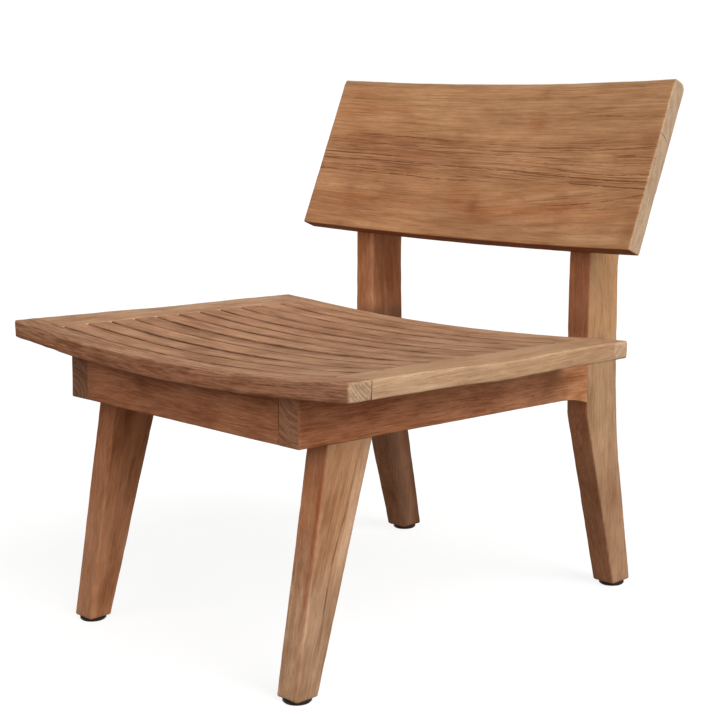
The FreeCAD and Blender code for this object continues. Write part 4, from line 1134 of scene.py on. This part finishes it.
def board_marks(n, pattern, check):
    """The board's open checks, and the red and pale lines between them."""
    place = n.add("TexCoord").outputs["Object"]
    up = Vector((0.0, sin(BOARD_RAKE), cos(BOARD_RAKE)))
    through = Vector((0.0, cos(BOARD_RAKE), -sin(BOARD_RAKE)))
    corner = Vector(rake(0.0, 0.0, 0.0))
    share = n.share(place, RIGHT, -BOARD_HALF, 2 * BOARD_HALF)
    level = n.share(place, tuple(up), up.dot(corner), BOARD_HEIGHT)
    depth = n.share(place, tuple(through), through.dot(corner), BOARD_THICKNESS)
    end = n.attribute("end_grain")
    front = n.math("SUBTRACT", n.step(n.attribute("checks"), 0.02, 0.08), end, clamp=True)
    right_end = n.times(end, n.step(share, 0.4, 0.6))

    red = n.times(drawn(n, share, level, BOARD_RED, *RED_PEN), front)
    pattern = n.blend(red, pattern, n.blend(1.0, pattern, (0.85, 0.71, 0.63), "MULTIPLY"))
    pale = n.times(drawn(n, share, level, BOARD_PALE, *PALE_PEN), front)
    pattern = n.blend(n.times(pale, 0.85), pattern, (1.26, 1.42, 1.55))
    opened = n.times(drawn(n, share, level, BOARD_CHECKS, *CHECK_PEN), front)
    pattern = n.blend(n.times(opened, 0.95), pattern, (0.3, 0.19, 0.145))
    crack = n.times(drawn(n, depth, level, END_CRACKS, *END_PEN), right_end)
    pattern = n.blend(crack, pattern, (0.42, 0.3, 0.24))
    return pattern, n.math("MAXIMUM", check, opened)


board_wood = teak("board_teak", short=2.5, bands=0.35, streaks=0.3, hairs=0.7, blotches=0.42, veins=0.2,
                  split=0.6, ends=0.55, worn=0.2, coarse=0.0002, marks=board_marks)
timber("back_board_wood", "back_board", board(), RIGHT, board_colour, board_wood, "board", seed=61,
       pith=(-0.06, 0.3), checks=board_checks, bend=board_bend, roll=pi / 2 - BOARD_RAKE)


# small parts that keep their own shape

plug_wood = teak("plug_teak", ring=0.004, rings=0.4, tint=(0.27, 0.14, 0.07))
dark_plastic = plastic("glide_plastic", (0.02, 0.012, 0.009), (0.16, 0.12, 0.09))
zinc = steel("screw_steel", (0.62, 0.61, 0.58), (0.4, 0.37, 0.33))
SMALL_PARTS = {"foot_glide": dark_plastic, "nails": zinc, "screws": zinc, "plugs": plug_wood}
for node, obj in frame["nodes"].items():
    for part, material in SMALL_PARTS.items():
        if part in node:
            obj.data.materials.clear()
            obj.data.materials.append(material)


# floor, light and camera

WHITE = (1.0, 1.0, 1.0)
SKY = (0.97, 0.98, 1.0)
SKY_LEVEL = 0.14
FLOOR_HALF = 30.0
FLOOR_GREY = (0.2, 0.195, 0.19)
FLOOR_LEVEL = 0.86
# Each lamp: azimuth, 0 in front of the chair and 90 to its right, elevation, strength, how wide it looks
# in degrees, and its tint.
LAMPS = {"key": (90.0, 46.0, 2.4, 45.0, WHITE), "low_key": (90.0, 20.0, 0.9, 40.0, WHITE),
         "fill": (0.0, 34.0, 0.9, 60.0, (1.0, 0.96, 0.92)), "back": (-135.0, 30.0, 0.6, 90.0, WHITE)}
CAMERA_AIM = (0.02367, -0.01537, 0.34518)
CAMERA_DISTANCE = 2.12007
CAMERA_AZIMUTH, CAMERA_ELEVATION, CAMERA_ROLL = 45.9775, 10.3118, -0.7118
CAMERA_LENS, CAMERA_SENSOR = 80.07, 36.0


def seen(n):
    """1 for rays of the camera, of mirrors and through glass, and 0 for light that reaches other things."""
    rays = n.add("LightPath").outputs
    bright = n.math("MAXIMUM", rays["Is Camera Ray"], rays["Is Glossy Ray"])
    return n.math("MAXIMUM", bright, rays["Is Transmission Ray"])


def floor():
    """A plain pale floor that keeps the chair's shadow."""
    mesh = bpy.data.meshes.new("floor")
    corners = ((-1, -1), (1, -1), (1, 1), (-1, 1))
    mesh.from_pydata([(x * FLOOR_HALF, y * FLOOR_HALF, 0.0) for x, y in corners], [], [(0, 1, 2, 3)])
    n = Nodes(bpy.data.materials.new("floor"))
    glow = n.add("Emission", WHITE, n.times(seen(n), FLOOR_LEVEL))
    both = n.add("AddShader", n.add("BsdfDiffuse", FLOOR_GREY).outputs[0], glow.outputs[0])
    n.add("OutputMaterial", both.outputs[0])
    mesh.materials.append(n.owner)
    put_in_scene("floor", mesh)


def world():
    """A soft sky that looks white."""
    sky = bpy.data.worlds.new("studio")
    bpy.context.scene.world = sky
    n = Nodes(sky)
    soft = n.add("Background", SKY, SKY_LEVEL)
    white = n.add("Background", WHITE, 1.0)
    n.add("OutputWorld", n.add("MixShader", seen(n), soft.outputs[0], white.outputs[0]).outputs[0])


def direction(azimuth, elevation):
    """A direction from the chair. Azimuth 0 is in front of it, 90 to its right."""
    az, el = radians(azimuth), radians(elevation)
    return Vector((sin(az) * cos(el), -cos(az) * cos(el), sin(el)))


def lamp(name, azimuth, elevation, strength, angle, tint):
    """A soft distant lamp."""
    sun = bpy.data.lights.new(name, "SUN")
    sun.energy = strength
    sun.angle = radians(angle)
    sun.color = tint
    turn = direction(azimuth, elevation).to_track_quat("Z", "Y")
    put_in_scene(name, sun).rotation_euler = turn.to_euler()


def camera():
    """The photograph's own view."""
    back = direction(CAMERA_AZIMUTH, CAMERA_ELEVATION)
    right = direction(CAMERA_AZIMUTH + 90.0, 0.0)
    up = back.cross(right)
    roll = radians(CAMERA_ROLL)
    across = right * cos(roll) + up * sin(roll)
    upright = up * cos(roll) - right * sin(roll)
    lens = bpy.data.cameras.new("camera")
    lens.sensor_width = CAMERA_SENSOR
    lens.sensor_fit = "HORIZONTAL"
    lens.lens = CAMERA_LENS
    view = put_in_scene("camera", lens)
    turned = Matrix((across, upright, back)).transposed().to_4x4()
    view.matrix_world = Matrix.Translation(Vector(CAMERA_AIM) + back * CAMERA_DISTANCE) @ turned
    bpy.context.scene.camera = view


floor()
world()
for name, settings in LAMPS.items():
    lamp(name, *settings)
camera()
bpy.context.scene.view_settings.view_transform = "Standard"
